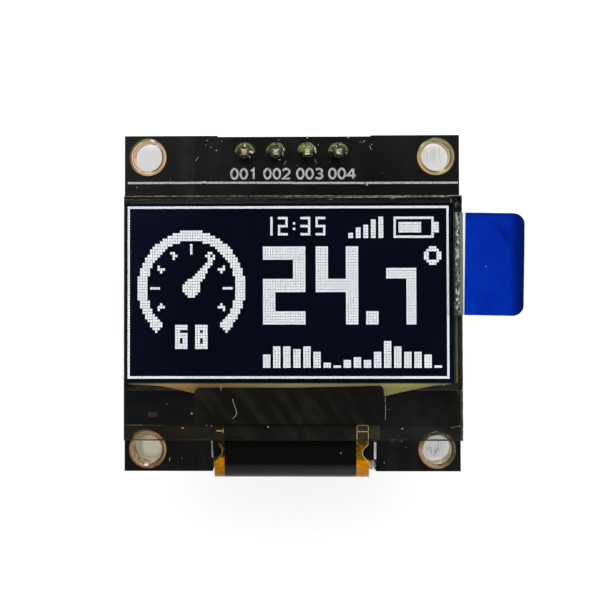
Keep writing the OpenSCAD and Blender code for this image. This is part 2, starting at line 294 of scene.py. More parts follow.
    def show(self, shader):
        """Puts another shader in the main one's place. Gives the finished material."""
        self.feed(self.out.inputs["Surface"], shader)
        if not self.main.outputs[0].is_linked:
            self.tree.nodes.remove(self.main)
        return self.material


def clear_sheet(name, tint, mirror, rough, scuffs=None):
    """A sheet seen straight through with a tint, with a glossy face. scuffs adds pale marks."""
    s = Shade(name)
    through = s.make("ShaderNodeBsdfTransparent", {0: tint}).outputs[0]
    gloss = s.make("ShaderNodeBsdfGlossy", {"Color": (mirror,) * 3, "Roughness": rough}).outputs[0]
    # Stronger at a slant, and the same from either side, so that light gets out again
    facing = s.make("ShaderNodeLayerWeight", {"Blend": 0.5}).outputs["Facing"]
    share = s.madd(s.math("POWER", facing, 5.0), 0.9, 0.035)
    sheet = s.make("ShaderNodeMixShader", {0: share, 1: through, 2: gloss}).outputs[0]
    if scuffs:
        amount, color, share = scuffs(s)
        s.paint(color, 0.5)
        marked = s.main.outputs[0]
        sheet = s.make("ShaderNodeMixShader", {0: s.mul(amount, share), 1: sheet, 2: marked}).outputs[0]
    return s.show(sheet)


# How brightly the mask beside the header shows, from the board's left edge to its right
MASK_BRIGHTNESS = [
    (0.0, 1.35), (0.18, 1.5), (0.26, 1.15), (0.33, 0.74), (0.5, 0.64), (0.61, 0.42), (0.7, 0.44), (0.8, 0.46),
    (1.0, 0.42),
]


def solder_mask(name, dark, light, relief):
    """Glossy black solder mask: a fine orange peel, soft cloudiness and a little dust."""
    s = Shade(name)
    cloud = s.noise(0.35, 4.0, 0.6)
    streak = s.noise(0.9, 2.0, 0.5, stretch=(1.0, 0.12, 1.0), seed=5.0)
    shade = s.steps(s.add(s.mul(cloud, 0.6), s.mul(streak, 0.4)), 0.35, 0.65)
    # Edge of the copper under the mask, as a faint line on either side of the header
    copper = s.add(s.band(s.x, -9.34, -9.28, 0.04), s.band(s.x, -8.1, -8.04, 0.05))
    dust = s.steps(s.noise(7.0, 2.0, 0.6, seed=9.0), 0.74, 0.8, 0.0, 0.35)
    # Over bare board the mask is darker than over copper
    shade = s.mul(shade, s.steps(s.x, -9.4, -9.2, 0.35, 1.0))
    # Beside the header it is brighter at the left and darker towards the right, darker in the strip at the
    # right, and down to a fifth next to the panel's top edge, a painted shadow along that edge
    along = s.madd(s.x, 1 / 28, 0.5)
    depth = s.ramp(along, [(place, (grey,) * 3) for place, grey in MASK_BRIGHTNESS])
    weight = s.mul(s.steps(s.y, 7.6, 8.6), s.steps(s.z, -0.05, -0.02))
    strip = s.mul(s.band(s.y, 8.5, 9.7, 0.08), s.steps(s.x, -3.0, 3.0, 1.0, 0.7))
    strip = s.most(strip, s.steps(s.y, 9.62, 9.78))
    depth = s.mix(strip, (0.2, 0.2, 0.2), depth)
    masked = s.scaled(s.mix(shade, dark, light), s.mix(weight, (1, 1, 1), depth))
    color = s.mix(dust, masked, tone(58, 58, 54))
    color = s.mix(s.mul(copper, 0.3), color, tone(46, 47, 45))
    s.paint(color, 0.3, 0.3)
    return s.bump(s.add(s.noise(5.0, 2.0, seed=2.0), s.mul(s.noise(0.8, 1.0), 2.0)), relief, 0.003)


def mottled(name, dark, light, rough, grain, relief=None, metal=0.0, spread=None, **place):
    """A surface that wanders between two colours.

    grain is the noise's scale, detail and roughness, and relief the bump's strength and depth.
    spread is the part of the noise over which the colour changes, where that isn't all of it.
    A rough of two values follows the noise as well.
    """
    s = Shade(name)
    noise = s.noise(*grain, **place)
    if isinstance(rough, tuple):
        rough = s.steps(noise, 0.3, 0.7, *rough)
    s.paint(s.mix(s.steps(noise, *spread) if spread else noise, dark, light), rough, metal=metal)
    return s.bump(noise, *relief) if relief else s.material


def stained(name, dark, light):
    """A small coloured mark, in two tones."""
    return mottled(name, tone(*dark), tone(*light), 0.5, (6.0, 4.0, 0.7))


def print_ink(name, thin, full):
    """Screen-printed ink: off-white, matte, thin in places."""
    return mottled(name, tone(*thin), tone(*full), 0.6, (5.0, 4.0, 0.65), (0.4, 0.01), spread=(0.3, 0.6))


def pin_face(name, dark, light):
    """One face of a pin's blunt tip, wetted with solder and flux."""
    return mottled(
        name, tone(*dark), tone(*light), 0.38, (6.0, 3.0, 0.6), (0.5, 0.03), 0.3, (0.35, 0.65),
        stretch=(0.4, 1, 1), seed=4.0,
    )


def board_edge():
    """Cut fibreglass: dark resin with pale layers of cloth."""
    s = Shade("board_edge")
    layers = s.math("SINE", s.mul(s.z, 40.0))
    fibre = s.noise(6.0, 4.0, 0.7, stretch=(1, 1, 4))
    share = s.steps(s.add(s.mul(layers, 0.25), fibre), 0.3, 0.95)
    s.paint(s.mix(share, (0.035, 0.03, 0.018), (0.16, 0.13, 0.075)), 0.75)
    return s.bump(fibre, 0.5, 0.02)


# The plated rings' colours round the compass, as (degrees from +X, colour) stops: the outer
# rim, and the inner part next to the hole. Besides the plating's own colour they hold painted
# glints, the palest stops, and painted shade, which darkens the darkest ones. Both run round to
# their first colour again.
RINGS = {
    1: (
        [(-180, (58, 48, 34)), (-140, (150, 112, 72)), (-100, (206, 164, 116)), (-50, (198, 156, 108)),
         (0, (206, 168, 126)), (38, (176, 148, 108)), (62, (128, 116, 84)), (74, (246, 240, 214)),
         (86, (120, 118, 92)), (120, (84, 84, 60))],
        [(-180, (226, 194, 152)), (-128, (240, 212, 174)), (-108, (234, 206, 176)), (-80, (252, 240, 222)),
         (-64, (220, 180, 132)), (-20, (196, 156, 106)), (20, (206, 168, 120)), (55, (228, 190, 146)),
         (90, (200, 154, 104)), (120, (218, 178, 132))],
    ),
    2: (
        [(-180, (186, 154, 104)), (-130, (198, 160, 108)), (-90, (182, 160, 108)), (-55, (196, 178, 128)),
         (-10, (146, 132, 84)), (40, (140, 128, 78)), (80, (124, 122, 66)), (120, (110, 108, 58)),
         (142, (206, 204, 160)), (152, (146, 134, 84))],
        [(-180, (196, 166, 118)), (-120, (190, 152, 100)), (-95, (120, 104, 60)), (-62, (236, 226, 186)),
         (-50, (150, 132, 84)), (-20, (112, 104, 58)), (30, (128, 118, 72)), (90, (150, 138, 86)),
         (140, (170, 152, 100))],
    ),
    3: (
        [(-180, (184, 128, 96)), (-140, (170, 116, 78)), (-105, (160, 108, 66)), (-60, (150, 96, 62)),
         (-20, (196, 158, 108)), (12, (214, 186, 134)), (40, (186, 124, 86)), (62, (240, 146, 116)),
         (90, (186, 156, 112)), (120, (166, 138, 98)), (150, (196, 140, 102))],
        [(-180, (222, 192, 146)), (-150, (206, 178, 130)), (-112, (252, 246, 226)), (-98, (196, 170, 120)),
         (-60, (186, 132, 90)), (-20, (150, 98, 60)), (30, (176, 118, 80)), (70, (222, 164, 130)),
         (110, (206, 164, 130)), (150, (214, 172, 130))],
    ),
    4: (
        [(-180, (240, 184, 136)), (-150, (214, 156, 110)), (-110, (206, 176, 134)), (-80, (190, 164, 116)),
         (-50, (124, 108, 66)), (-10, (104, 96, 64)), (30, (112, 108, 78)), (60, (92, 82, 62)),
         (100, (62, 56, 42)), (140, (70, 58, 42)), (165, (190, 132, 92))],
        [(-180, (252, 216, 174)), (-140, (248, 220, 182)), (-100, (222, 196, 156)), (-84, (150, 110, 76)),
         (-60, (186, 152, 102)), (-20, (120, 94, 58)), (20, (136, 108, 70)), (60, (120, 100, 74)),
         (110, (86, 72, 52)), (150, (150, 118, 84))],
    ),
}


# Dark and light of the drilled walls, and how brightly the light lies on each ring
WALLS = {
    1: (tone(226, 170, 120), tone(250, 222, 184)),
    2: (tone(188, 176, 118), tone(224, 212, 158)),
    3: (tone(112, 98, 66), tone(238, 216, 172)),
    4: (tone(150, 128, 92), tone(250, 238, 212)),
}
# The side of each hole whose lip carries painted shade, in degrees
LIP_SHADE = {1: (-80, 40), 2: (-150, -90), 3: (-70, 10), 4: (-60, 30)}
RING_SHADE = {1: 1.06, 2: 1.0, 3: 0.66, 4: 0.62}
# How mottled each ring is
RING_WEAR = {1: 0.4, 2: 0.5, 3: 0.75, 4: 0.85}
# A bright reflection on the lower left one: offset from its middle and half sizes
RING_GLINT = {3: (-0.12, -1.22, 0.2, 0.13)}


def plated_gold(ring, x, y, hole_r, ring_r):
    """Thin plating on one corner hole, worn to copper and olive, with painted glints and painted shade round
    it, and its drilled wall.
    """
    s = Shade(f"plated_gold_{ring}")
    distance, bearing = s.polar(x, y)
    outer, inner = (
        s.ramp(bearing, tones(((angle + 180) / 360, color) for angle, color in (*stops, (180, stops[0][1]))))
        for stops in RINGS[ring]
    )
    wear = s.noise(2.2, 4.0, 0.65)
    fine = s.noise(9.0, 3.0, 0.6, seed=3.0)
    rim = hole_r + 0.45 * (ring_r - hole_r)
    share = s.steps(s.madd(s.sub(wear, 0.5), 0.12, distance), rim - 0.05, rim + 0.06)
    color = s.mix(share, inner, outer)
    color = s.mix(s.steps(fine, 0.56, 0.7, 0.0, RING_WEAR[ring]), color, tone(78, 62, 38))
    pale = s.noise(5.0, 3.0, 0.6, seed=8.0, place=s.swirl(x, y))
    color = s.mix(s.steps(pale, 0.56, 0.68, 0.0, RING_WEAR[ring]), color, tone(244, 232, 204))
    edge = s.steps(distance, ring_r - 0.05, ring_r, 0.0, 0.6)
    color = s.mix(edge, color, tone(46, 42, 28))
    # Bare copper and dirt show along the lip of the hole, and painted shade darkens it all along its shaded
    # side
    start, end = LIP_SHADE[ring]
    shaded_side = s.band(bearing, (start + 180) / 360, (end + 180) / 360, 0.06)
    lip = s.mul(s.steps(distance, hole_r + 0.03, hole_r + 0.1, 0.8, 0.0), s.steps(wear, 0.4, 0.52))
    lip = s.most(lip, s.mul(s.steps(distance, hole_r + 0.07, hole_r + 0.14, 1.0, 0.0), shaded_side))
    color = s.mix(lip, color, tone(82, 52, 30))
    wall = s.steps(s.z, -0.04, -0.01, 1.0, 0.0)
    color = s.mix(wall, s.scaled(color, RING_SHADE[ring]), s.fade(wear, 0.35, 0.65, *WALLS[ring]))
    if ring in RING_GLINT:
        dx, dy, rx, ry = RING_GLINT[ring]
        glint = s.mul(s.spot(x + dx, y + dy, rx, ry), s.steps(s.z, -0.28, -0.12))
        color = s.mix(glint, color, tone(255, 248, 226))
    s.paint(color, s.steps(fine, 0.3, 0.7, 0.26, 0.42), 0.4, metal=0.1)
    return s.bump(s.add(fine, wear), 0.3, 0.02)


# Where each joint glints: middle and half widths, from the joint's own middle
GLINTS = {
    1: [(0, 0.54, 0.06, 0.13), (0.56, 0.02, 0.19, 0.11), (0.42, -0.4, 0.05, 0.06), (0.62, -0.45, 0.05, 0.05)],
    2: [(0.56, -0.12, 0.03, 0.22), (0.62, 0.25, 0.04, 0.09), (0.3, 0.45, 0.05, 0.03),
        (0.3, -0.6, 0.12, 0.03)],
    3: [(0.66, 0.27, 0.06, 0.07), (0.7, 0.05, 0.04, 0.14), (-0.25, 0.5, 0.05, 0.03), (0.1, 0.46, 0.05, 0.04),
        (0.26, 0.4, 0.03, 0.04), (-0.34, 0.3, 0.03, 0.04), (0.4, -0.25, 0.04, 0.03)],
    4: [(-0.16, 0.46, 0.06, 0.07), (0.7, -0.08, 0.06, 0.1), (0.66, -0.45, 0.03, 0.1),
        (-0.54, 0.1, 0.04, 0.04)],
}
# Share of olive flux over the middle of each joint
FLUX = {1: 0.2, 2: 0.15, 3: 0.8, 4: 0.1}
# Where the painted lit olive rim of each joint begins, and how bright it is
LIT_RIMS = {1: (0.74, 0.75), 2: (0.75, 0.9), 3: (0.68, 1.0), 4: (0.69, 1.05)}


def joint_solder(number, x, y):
    """Solder under a coat of flux, with painted light: a lit olive rim round the upper half, painted shade
    below, and painted glints.
    """
    s = Shade(f"joint_solder_{number}")
    distance, bearing = s.polar(x, y)
    grain = s.noise(4.5, 4.0, 0.65, seed=number * 3.1)
    blotch = s.noise(2.6, 2.0, 0.5, seed=number * 1.7)
    # Bearings 0.5 to 1 are the upper half, painted as the lit side
    upper = s.band(bearing, 0.53, 0.99, 0.06)
    start, bright = LIT_RIMS[number]
    rim = s.steps(s.madd(blotch, 0.3, distance), start, start + 0.13)
    pale = tone(132 * bright, 140 * bright, 84 * bright)
    olive = s.fade(grain, 0.38, 0.66, tone(50, 56, 26), pale)
    flux = s.mul(s.steps(grain, 0.38, 0.6), FLUX[number])
    inside = s.mix(flux, tone(23, 24, 18), tone(162, 164, 86))
    # Painted shade: the lower half is near black
    lower = s.fade(grain, 0.52, 0.7, tone(14, 15, 13), tone(52, 54, 46))
    color = s.mix(upper, lower, s.mix(rim, inside, olive))
    for dx, dy, rx, ry in GLINTS[number]:
        color = s.mix(s.spot(x + dx, y + dy, rx, ry), color, tone(222, 224, 216))
    s.paint(color, 0.25, 0.35, metal=0.15)
    return s.bump(s.add(grain, blotch), 0.5, 0.05)


def pad_olive():
    """Tinned pad under a film of flux, in shade on its lower side."""
    s = Shade("pad_olive")
    film = s.noise(3.0, 4.0, 0.6, seed=1.0)
    upper = s.steps(s.madd(film, 0.3, s.y), PAD_Y + 0.05, PAD_Y + 0.4)
    light = s.fade(film, 0.35, 0.65, tone(58, 62, 34), tone(132, 138, 82))
    s.paint(s.mix(upper, tone(17, 18, 14), light), 0.3, 0.3, metal=0.2)
    return s.bump(film, 0.4, 0.03)


def moulded_plastic(name, color, grain, rough):
    s = Shade(name)
    fine = s.noise(grain, 4.0, 0.6)
    broad = s.noise(0.8, 3.0, 0.5, seed=3.0)
    light = tuple(c * 1.7 + 0.003 for c in color)
    uneven = s.steps(fine, 0.3, 0.7, rough - 0.08, rough + 0.1)
    s.paint(s.fade(broad, 0.3, 0.7, color, light), uneven)
    return s.bump(fine, 0.45, 0.03)


def foam():
    s = Shade("foam")
    cells = s.make("ShaderNodeTexVoronoi", {"Vector": s.place, "Scale": 7.0})
    share = s.steps(cells.outputs["Distance"], 0.05, 0.6)
    s.paint(s.mix(share, (0.006, 0.006, 0.006), (0.04, 0.04, 0.04)), 0.9)
    return s.bump(share, 0.8, 0.08)


def ground_glass():
    """The cap's etched glass: a dull green grey."""
    s = Shade("ground_glass")
    grain = s.noise(10.0, 3.0, 0.6)
    cloud = s.noise(0.7, 3.0, 0.5, seed=2.0)
    s.paint(s.mix(cloud, (0.055, 0.06, 0.05), (0.1, 0.105, 0.085)), s.steps(grain, 0.3, 0.7, 0.2, 0.4))
    return s.bump(grain, 0.3, 0.01)


def panel_glass():
    """The front glass, with a brown haze of old glue behind the foot of its ledge."""
    def haze(s):
        on_top = s.steps(s.z, GLASS.z1 - 0.05, GLASS.z1 - 0.02)
        foot = s.steps(s.y, -9.75, -9.5, 1.0, 0.0)
        cloud = s.noise(0.45, 4.0, 0.6, stretch=(0.5, 1.6, 1))
        brown = s.mul(foot, s.steps(s.x, -9.5, -5.5, 1.0, 0.0))
        color = s.mix(brown, tone(96, 97, 92), tone(128, 98, 66))
        # The foot is dull all along, but not where the flex circuit lies behind it
        foot = s.mul(foot, s.sub(1.0, s.mul(s.band(s.x, -6.2, 5.0, 0.4), 0.5)))
        amount = s.mul(foot, s.steps(cloud, 0.36, 0.64, 0.35, 1.0))
        amount = s.most(amount, s.steps(cloud, 0.4, 0.7, 0.1, 0.3))
        # A brown veil over the left hole
        over_hole = s.spot(-11.7, -10.45, 1.0, 0.6)
        color = s.mix(over_hole, color, tone(142, 120, 86))
        amount = s.most(amount, s.mul(over_hole, 4.5))
        return s.mul(on_top, amount), color, 0.08
    return clear_sheet("panel_glass", (0.93, 0.95, 0.93), 0.35, 0.03, haze)


def glass_edge():
    """Scribed and broken glass edge: nearly black from the front, with a few bright splinters."""
    s = Shade("glass_edge")
    chips = s.noise(4.0, 5.0, 0.7, stretch=(1, 1, 3))
    color = s.fade(chips, 0.6, 0.8, (0.012, 0.013, 0.009), (0.2, 0.21, 0.18))
    s.paint(color, s.steps(chips, 0.3, 0.7, 0.15, 0.5), 0.25)
    return s.bump(chips, 0.5, 0.05)


def arris(name, dark, light, share):
    """Tiny chips along a glass edge that catch the light, rusty brown near the upper left corner."""
    s = Shade(name)
    chips = s.noise(3.4, 5.0, 0.75)
    rust = s.mul(s.band(s.x, -12.9, -10.2, 0.5), s.steps(s.y, GLASS.y1 - 0.1, GLASS.y1 - 0.06))
    spark = s.mix(rust, tone(*light), tone(170, 138, 106))
    base = s.mix(rust, tone(*dark), tone(82, 64, 50))
    s.paint(s.fade(chips, share - 0.06, share + 0.12, base, spark), 0.45)
    return s.bump(chips, 0.5, 0.03)


def seal_resin():
    """Cured sealant seen through the glass, drawn out in streaks along the panel's right edge."""
    s = Shade("seal_resin")
    cloud = s.noise(1.2, 4.0, 0.6, seed=4.0)
    speck = s.noise(6.0, 3.0, 0.7, seed=6.0)
    along = s.noise(0.8, 3.0, 0.6, stretch=(0.3, 1, 1), seed=2.0)
    # Across the right margin, from the layer's edge to the glass's edge
    start, width = LAYER.x1 - 0.05, GLASS.x1 - LAYER.x1 + 0.05
    streaks = s.ramp(
        s.math("DIVIDE", s.sub(s.x, start), width),
        tones([
            (0.0, (62, 62, 62)), (0.08, (36, 38, 28)), (0.27, (72, 74, 54)), (0.4, (142, 143, 110)),
            (0.52, (120, 122, 90)), (0.63, (34, 34, 18)), (0.74, (40, 40, 24)), (0.84, (100, 100, 74)),
            (1.0, (76, 76, 54)),
        ]),
    )
    streaks = s.mix(s.steps(along, 0.3, 0.7, 0.0, 0.35), streaks, tone(44, 46, 32))
    top = s.steps(s.y, TAB.y1 - 0.05, TAB.y1 + 0.05)
    mottled = s.fade(speck, 0.54, 0.66, tone(22, 25, 22), tone(112, 118, 108))
    right = s.mix(top, streaks, mottled)
    # Below the layer: a dark foot with pale lines where the glue ends
    lines = s.band(s.madd(cloud, 0.05, s.y), CAP.y0 - 0.02, CAP.y0 + 0.09, 0.04)
    broad = s.band(s.y, CAP.y0 + 0.02, -6.62, 0.06)
    foot = s.fade(s.x, 9.0, 12.6, tone(24, 24, 20), tone(46, 45, 38))
    foot = s.mix(s.mul(broad, 0.5), foot, tone(50, 48, 38))
    foot = s.mix(lines, foot, tone(66, 65, 58))
    below = s.steps(s.y, LAYER.y0 - 0.06, LAYER.y0 - 0.02, 1.0, 0.0)
    # Above the layer it shows grey through the polarizer, paler towards the left
    band = s.fade(s.madd(cloud, 5.0, s.x), -8.0, 14.0, tone(112, 108, 100), tone(82, 84, 80))
    color = s.fade(s.x, LAYER.x1 - 0.06, LAYER.x1 - 0.02, band, right)
    s.paint(s.mix(below, color, foot), 0.5, 0.2)
    return s.bump(speck, 0.3, 0.02)


def layer_film():
    """The unlit light-emitting layer: blue black, with a violet cast towards the upper left."""
    s = Shade("layer_film")
    cloud = s.noise(0.12, 2.0, 0.5)
    place = s.madd(cloud, 6.0, s.madd(s.y, -0.5, s.x))
    rows = s.math("SINE", s.mul(s.y, 2 * math.pi / DOT_H))
    grid = s.steps(rows, -1.0, 1.0, 0.85, 1.0)
    color = s.ramp(
        s.madd(place, 1 / 23, 17 / 23),
        [(0.0, (0.056, 0.05, 0.2)), (0.2, (0.024, 0.023, 0.1)), (0.5, (0.0045, 0.011, 0.056)),
         (1.0, (0.004, 0.012, 0.056))],
    )
    s.paint(s.scaled(color, grid), 0.45, 0.1)
    return s.material


def lit_dots():
    """Lit dots, a shade dimmer here and there."""
    s = Shade("lit_dots")
    color = s.mix(s.noise(1.1, 3.0, 0.6), (0.93, 0.93, 0.97), (1.0, 0.99, 1.02))
    return s.show(s.make("ShaderNodeEmission", {"Color": color, "Strength": DOT_GLOW}).outputs[0])


def fan_metal():
    """Dense metal lines that fan out from the driver chip to the columns of the screen."""
    s = Shade("fan_metal")
    lines = s.math("SINE", s.mul(s.x, 45.0))
    cloud = s.noise(0.5, 3.0, 0.5)
    side = s.ramp(
        s.madd(s.madd(cloud, 2.0, s.x), 1 / 26, 0.47),
        tones([
            (0.0, (96, 84, 72)), (0.05, (124, 102, 84)), (0.1, (164, 124, 78)), (0.28, (166, 130, 80)),
            (0.5, (190, 173, 124)), (0.86, (160, 152, 88)), (0.93, (140, 136, 88)), (1.0, (96, 96, 78)),
        ]),
    )
    faint = s.mix(s.steps(s.madd(cloud, 1.5, lines), -0.6, 1.6, 0.25, 0.0), side, tone(84, 72, 46))
    # Painted light: brighter towards the polarizer's edge, against the shadow the polarizer casts there
    s.paint(s.scaled(faint, s.steps(s.y, -6.85, -6.4, 1.0, 1.8)), 0.5, 0.1)
    return s.bump(lines, 0.2, 0.01)


def satin_black(name, dark, light):
    """Black film with faint slanting streaks of painted sheen."""
    s = Shade(name)
    cloud = s.noise(0.5, 3.0, 0.6, seed=3.0)
    sheen = s.steps(s.madd(cloud, 0.4, s.streaks()), 0.58, 0.86)
    s.paint(s.mix(sheen, tone(*dark), tone(*light)), s.steps(sheen, 0.0, 1.0, 0.3, 0.36), 0.2)
    return s.bump(s.madd(s.noise(9.0, 2.0), 0.3, sheen), 0.2, 0.01)


def polyimide():
    """The flex circuit: black cover film down its middle and amber film along its edges."""
    s = Shade("polyimide")
    on_front = s.steps(s.z, -1.0, -0.8)
    cover = s.mul(s.band(s.x, COVER_X0, COVER_X1, 0.015), on_front)
    fine = s.noise(4.0, 4.0, 0.6)
    under = s.steps(s.y, GLASS.y0 - 0.02, GLASS.y0 + 0.02)
    # Painted sheen: under the glass the black cover carries the tape's slanting streaks, and at its foot it
    # is lighter, a painted highlight along the fold
    black = s.fade(s.streaks(), 0.42, 0.66, tone(25, 24, 22), tone(40, 38, 32))
    black = s.mix(under, tone(10, 10, 10), black)
    black = s.fade(s.y, -12.95, -12.72, tone(32, 32, 33), black)
    # The bare film is bright where it bends and dull brown above
    edge = s.steps(s.x, -1.0, 1.0, -12.2, -12.45)
    bright = s.steps(s.sub(s.madd(fine, 0.2, s.y), edge), 0.0, 0.2, 1.0, 0.0)
    left = s.steps(s.x, -1.0, 1.0, 1.0, 0.0)
    spread = s.steps(fine, 0.42, 0.62)
    dull_left = s.mix(spread, tone(20, 17, 9), tone(74, 54, 20))
    dull = s.mix(left, s.mix(spread, tone(92, 66, 0), tone(132, 100, 6)), dull_left)
    fresh = s.fade(s.y, -13.1, -12.6, tone(196, 130, 0), tone(228, 138, 2))
    fresh = s.mix(s.mul(left, 0.45), fresh, tone(140, 92, 10))
    fresh = s.fade(fine, 0.3, 0.7, s.mix(left, tone(172, 110, 0), tone(132, 84, 4)), fresh)
    amber = s.mix(bright, dull, fresh)
    dim_left = s.mix(fine, tone(34, 28, 12), tone(60, 50, 24))
    dim = s.mix(left, s.mix(fine, tone(60, 48, 0), tone(92, 76, 10)), dim_left)
    amber = s.mix(under, amber, dim)
    traces = s.math("SINE", s.mul(s.x, 2 * math.pi / CONTACT_PITCH))
    rear = s.fade(traces, -0.1, 0.1, (0.26, 0.13, 0.02), (0.5, 0.29, 0.06))
    color = s.mix(cover, s.mix(on_front, rear, amber), black)
    s.paint(color, s.steps(fine, 0.3, 0.7, 0.26, 0.34), 0.12)
    return s.bump(s.madd(traces, 0.3, fine), 0.2, 0.01)


def blue_film():
    """Blue film with painted shade: darker on the turned-up end and towards its upper edge, with one soft
    crease in its upper corner drawn as a dark line of painted shade.
    """
    s = Shade("blue_film")
    cloud = s.noise(0.25, 2.0, 0.5)
    fine = s.noise(3.0, 4.0, 0.6, seed=2.0)
    color = s.fade(cloud, 0.3, 0.7, tone(0, 38, 154), tone(0, 45, 168))
    distance, bearing = s.polar(14.0, 3.4)
    # Sharp towards the crease's middle and fading outwards
    fold = s.mul(s.steps(distance, 3.22, 3.34), s.steps(distance, 3.34, 4.1, 1.0, 0.0))
    crease = s.mul(fold, s.most(s.band(bearing, 0.57, 0.64, 0.03), s.band(bearing, 0.6, 0.72, 0.05)))
    crease = s.mul(crease, s.steps(bearing, 0.6, 0.7, 0.6, 0.14))
    color = s.mix(crease, color, tone(0, 20, 100))
    # Painted shade on the turned-up end, and darker towards the upper edge
    dark = s.steps(s.x, 17.0, 17.9, 0.0, 1.0)
    dark = s.most(dark, s.steps(s.y, TAB.y1 - 0.7, TAB.y1, 0.0, 0.5))
    speck = s.spot(15.28, 3.0, 0.06, 0.06)
    color = s.mix(speck, color, tone(86, 128, 214))
    s.paint(s.mix(dark, color, tone(0, 21, 96)), s.steps(fine, 0.3, 0.7, 0.2, 0.3), 0.15)
    return s.bump(cloud, 0.2, 0.02)


def dried_flux():
    """A thin skin of dried flux in a hole: clear in its middle and duller round its edge."""
    def rim(s):
        distance, bearing = s.polar(-11.58, -11.8)
        cloud = s.noise(2.0, 3.0, 0.6)
        return s.steps(s.madd(cloud, 0.3, distance), 0.8, 1.25), tone(178, 178, 158), 0.32
    return clear_sheet("dried_flux", (0.99, 0.962, 0.845), 0.2, 0.2, rim)


def speckled_glue():
    """The tab's clear stuck-down end: beside the polarizer its glue shows air bubbles."""
    def marks(s):
        past = s.steps(s.x, POLARIZER.x1 - 0.02, POLARIZER.x1 + 0.03)
        over = s.steps(s.x, GLASS.x1 - 0.02, GLASS.x1 + 0.01, 1.0, 0.0)
        fleck = s.steps(s.noise(6.0, 4.0, 0.7, stretch=(1, 0.6, 1)), 0.49, 0.6)
        fleck = s.mul(s.band(s.x, 12.9, 13.22, 0.05), fleck)
        spots = s.steps(s.noise(6.5, 4.0, 0.75, seed=5.0), 0.5, 0.62, 0.0, 0.45)
        smooth = s.mul(s.steps(s.x, 13.2, 13.27), 0.85)
        amount = s.most(s.most(fleck, spots), smooth)
        color = s.mix(s.noise(7.0, 3.0, 0.7), tone(86, 88, 80), tone(122, 126, 118))
        color = s.mix(fleck, color, tone(196, 200, 184))
        return s.mul(amount, s.mul(past, over)), color, 0.95
    return clear_sheet("speckled_glue", (0.9, 0.92, 0.93), 0.3, 0.2, marks)


# The floor's own light, in the open and behind the board's lower and upper edges
FLOOR_GLOW, FLOOR_SHADE = 0.66, (0.125, 0.165)


def floor_white():
    """Pale floor: white to the camera, to mirrors and through glass, with the soft shadow kept."""
    s = Shade("floor_white")
    s.paint(s.mix(s.noise(0.02, 2.0), (0.5, 0.5, 0.5), (0.52, 0.52, 0.52)), 0.9)
    # Its own light fades behind the board, where a floor lies in the board's shadow
    across = s.band(s.x, BOARD.x0 - 1.2, BOARD.x1 + 1.2, 0.75)
    along = s.band(s.y, BOARD.y0 - 1.9, BOARD.y1 + 0.5, 0.75)
    behind = s.sub(s.steps(s.y, -12.0, 12.0, *FLOOR_SHADE), FLOOR_GLOW)
    glow_share = s.madd(s.mul(across, along), behind, FLOOR_GLOW)
    rays = s.make("ShaderNodeLightPath").outputs
    seen = s.most(rays["Is Camera Ray"], rays["Is Glossy Ray"])
    seen = s.most(seen, rays["Is Transmission Ray"])
    glow = s.make("ShaderNodeEmission", {"Strength": s.mul(seen, glow_share)}).outputs[0]
    return s.show(s.make("ShaderNodeAddShader", {0: s.main.outputs[0], 1: glow}).outputs[0])


# ---------------------------------------------------------------- mesh building

def finish_piece(name, bm, material, slot, smooth=False):
    """Makes an object of a bmesh in millimetres, and rides it on the module."""
    for v in bm.verts:
        v.co *= MM
    bmesh.ops.recalc_face_normals(bm, faces=bm.faces)
    mesh = bpy.data.meshes.new(name)
    bm.to_mesh(mesh)
    bm.free()
    for polygon in mesh.polygons:
        polygon.use_smooth = smooth
    piece = bpy.data.objects.new(name, mesh)
    mesh.materials.append(material)
    scene.collection.objects.link(piece)
    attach(piece, BODY)
    return piece


def make_piece(name, material, slot, add, *parts):
    """Makes a piece of several parts, each given as what add takes after the mesh."""
    bm = bmesh.new()
    for part in parts:
        add(bm, *part)
    return finish_piece(name, bm, material, slot)


def add_skin(bm, rows, closed=True):
    """Four-sided faces between rows of corners. A closed skin joins each row's end to its start."""
    for low, high in zip(rows, rows[1:]):
        for j in range(len(low) if closed else len(low) - 1):
            k = (j + 1) % len(low)
            bm.faces.new((low[j], low[k], high[k], high[j]))


def add_prism(bm, outline, z0, z1):
    """A flat plate of a convex outline."""
    low = [bm.verts.new((x, y, z0)) for x, y in outline]
    high = [bm.verts.new((x, y, z1)) for x, y in outline]
    bm.faces.new(low[::-1])
    bm.faces.new(high)
    add_skin(bm, (low, high))


def add_box(bm, x0, x1, y0, y1, z0, z1):
    add_prism(bm, [(x0, y0), (x1, y0), (x1, y1), (x0, y1)], z0, z1)


def circle(x, y, r, sides=24, start=0.0, squash=1.0):
    return [
        (x + r * math.cos(start + 2 * math.pi * i / sides),
         y + r * squash * math.sin(start + 2 * math.pi * i / sides))
        for i in range(sides)
    ]


def add_ribbon(bm, points, width, z0, z1, closed=False):
    """A flat track of even width along a path, with mitred bends."""
    path = [Vector(p) for p in points]
    n = len(path)
    rims = []
    for i, p in enumerate(path):
        before = path[i - 1] if closed or i else None
        after = path[(i + 1) % n] if closed or i < n - 1 else None
        way_in = (p - before).normalized() if before is not None else (after - p).normalized()
        way_out = (after - p).normalized() if after is not None else way_in
        way = (way_in + way_out).normalized()
        side = Vector((-way.y, way.x))
        reach = width / 2 / max(0.5, side.dot(Vector((-way_in.y, way_in.x))))
        a, b = p + side * reach, p - side * reach
        rims.append([bm.verts.new((q.x, q.y, z)) for q, z in ((a, z0), (b, z0), (b, z1), (a, z1))])
    if closed:
        add_skin(bm, rims + rims[:1])
    else:
        add_skin(bm, rims)
        bm.faces.new(rims[0])
        bm.faces.new(rims[-1][::-1])


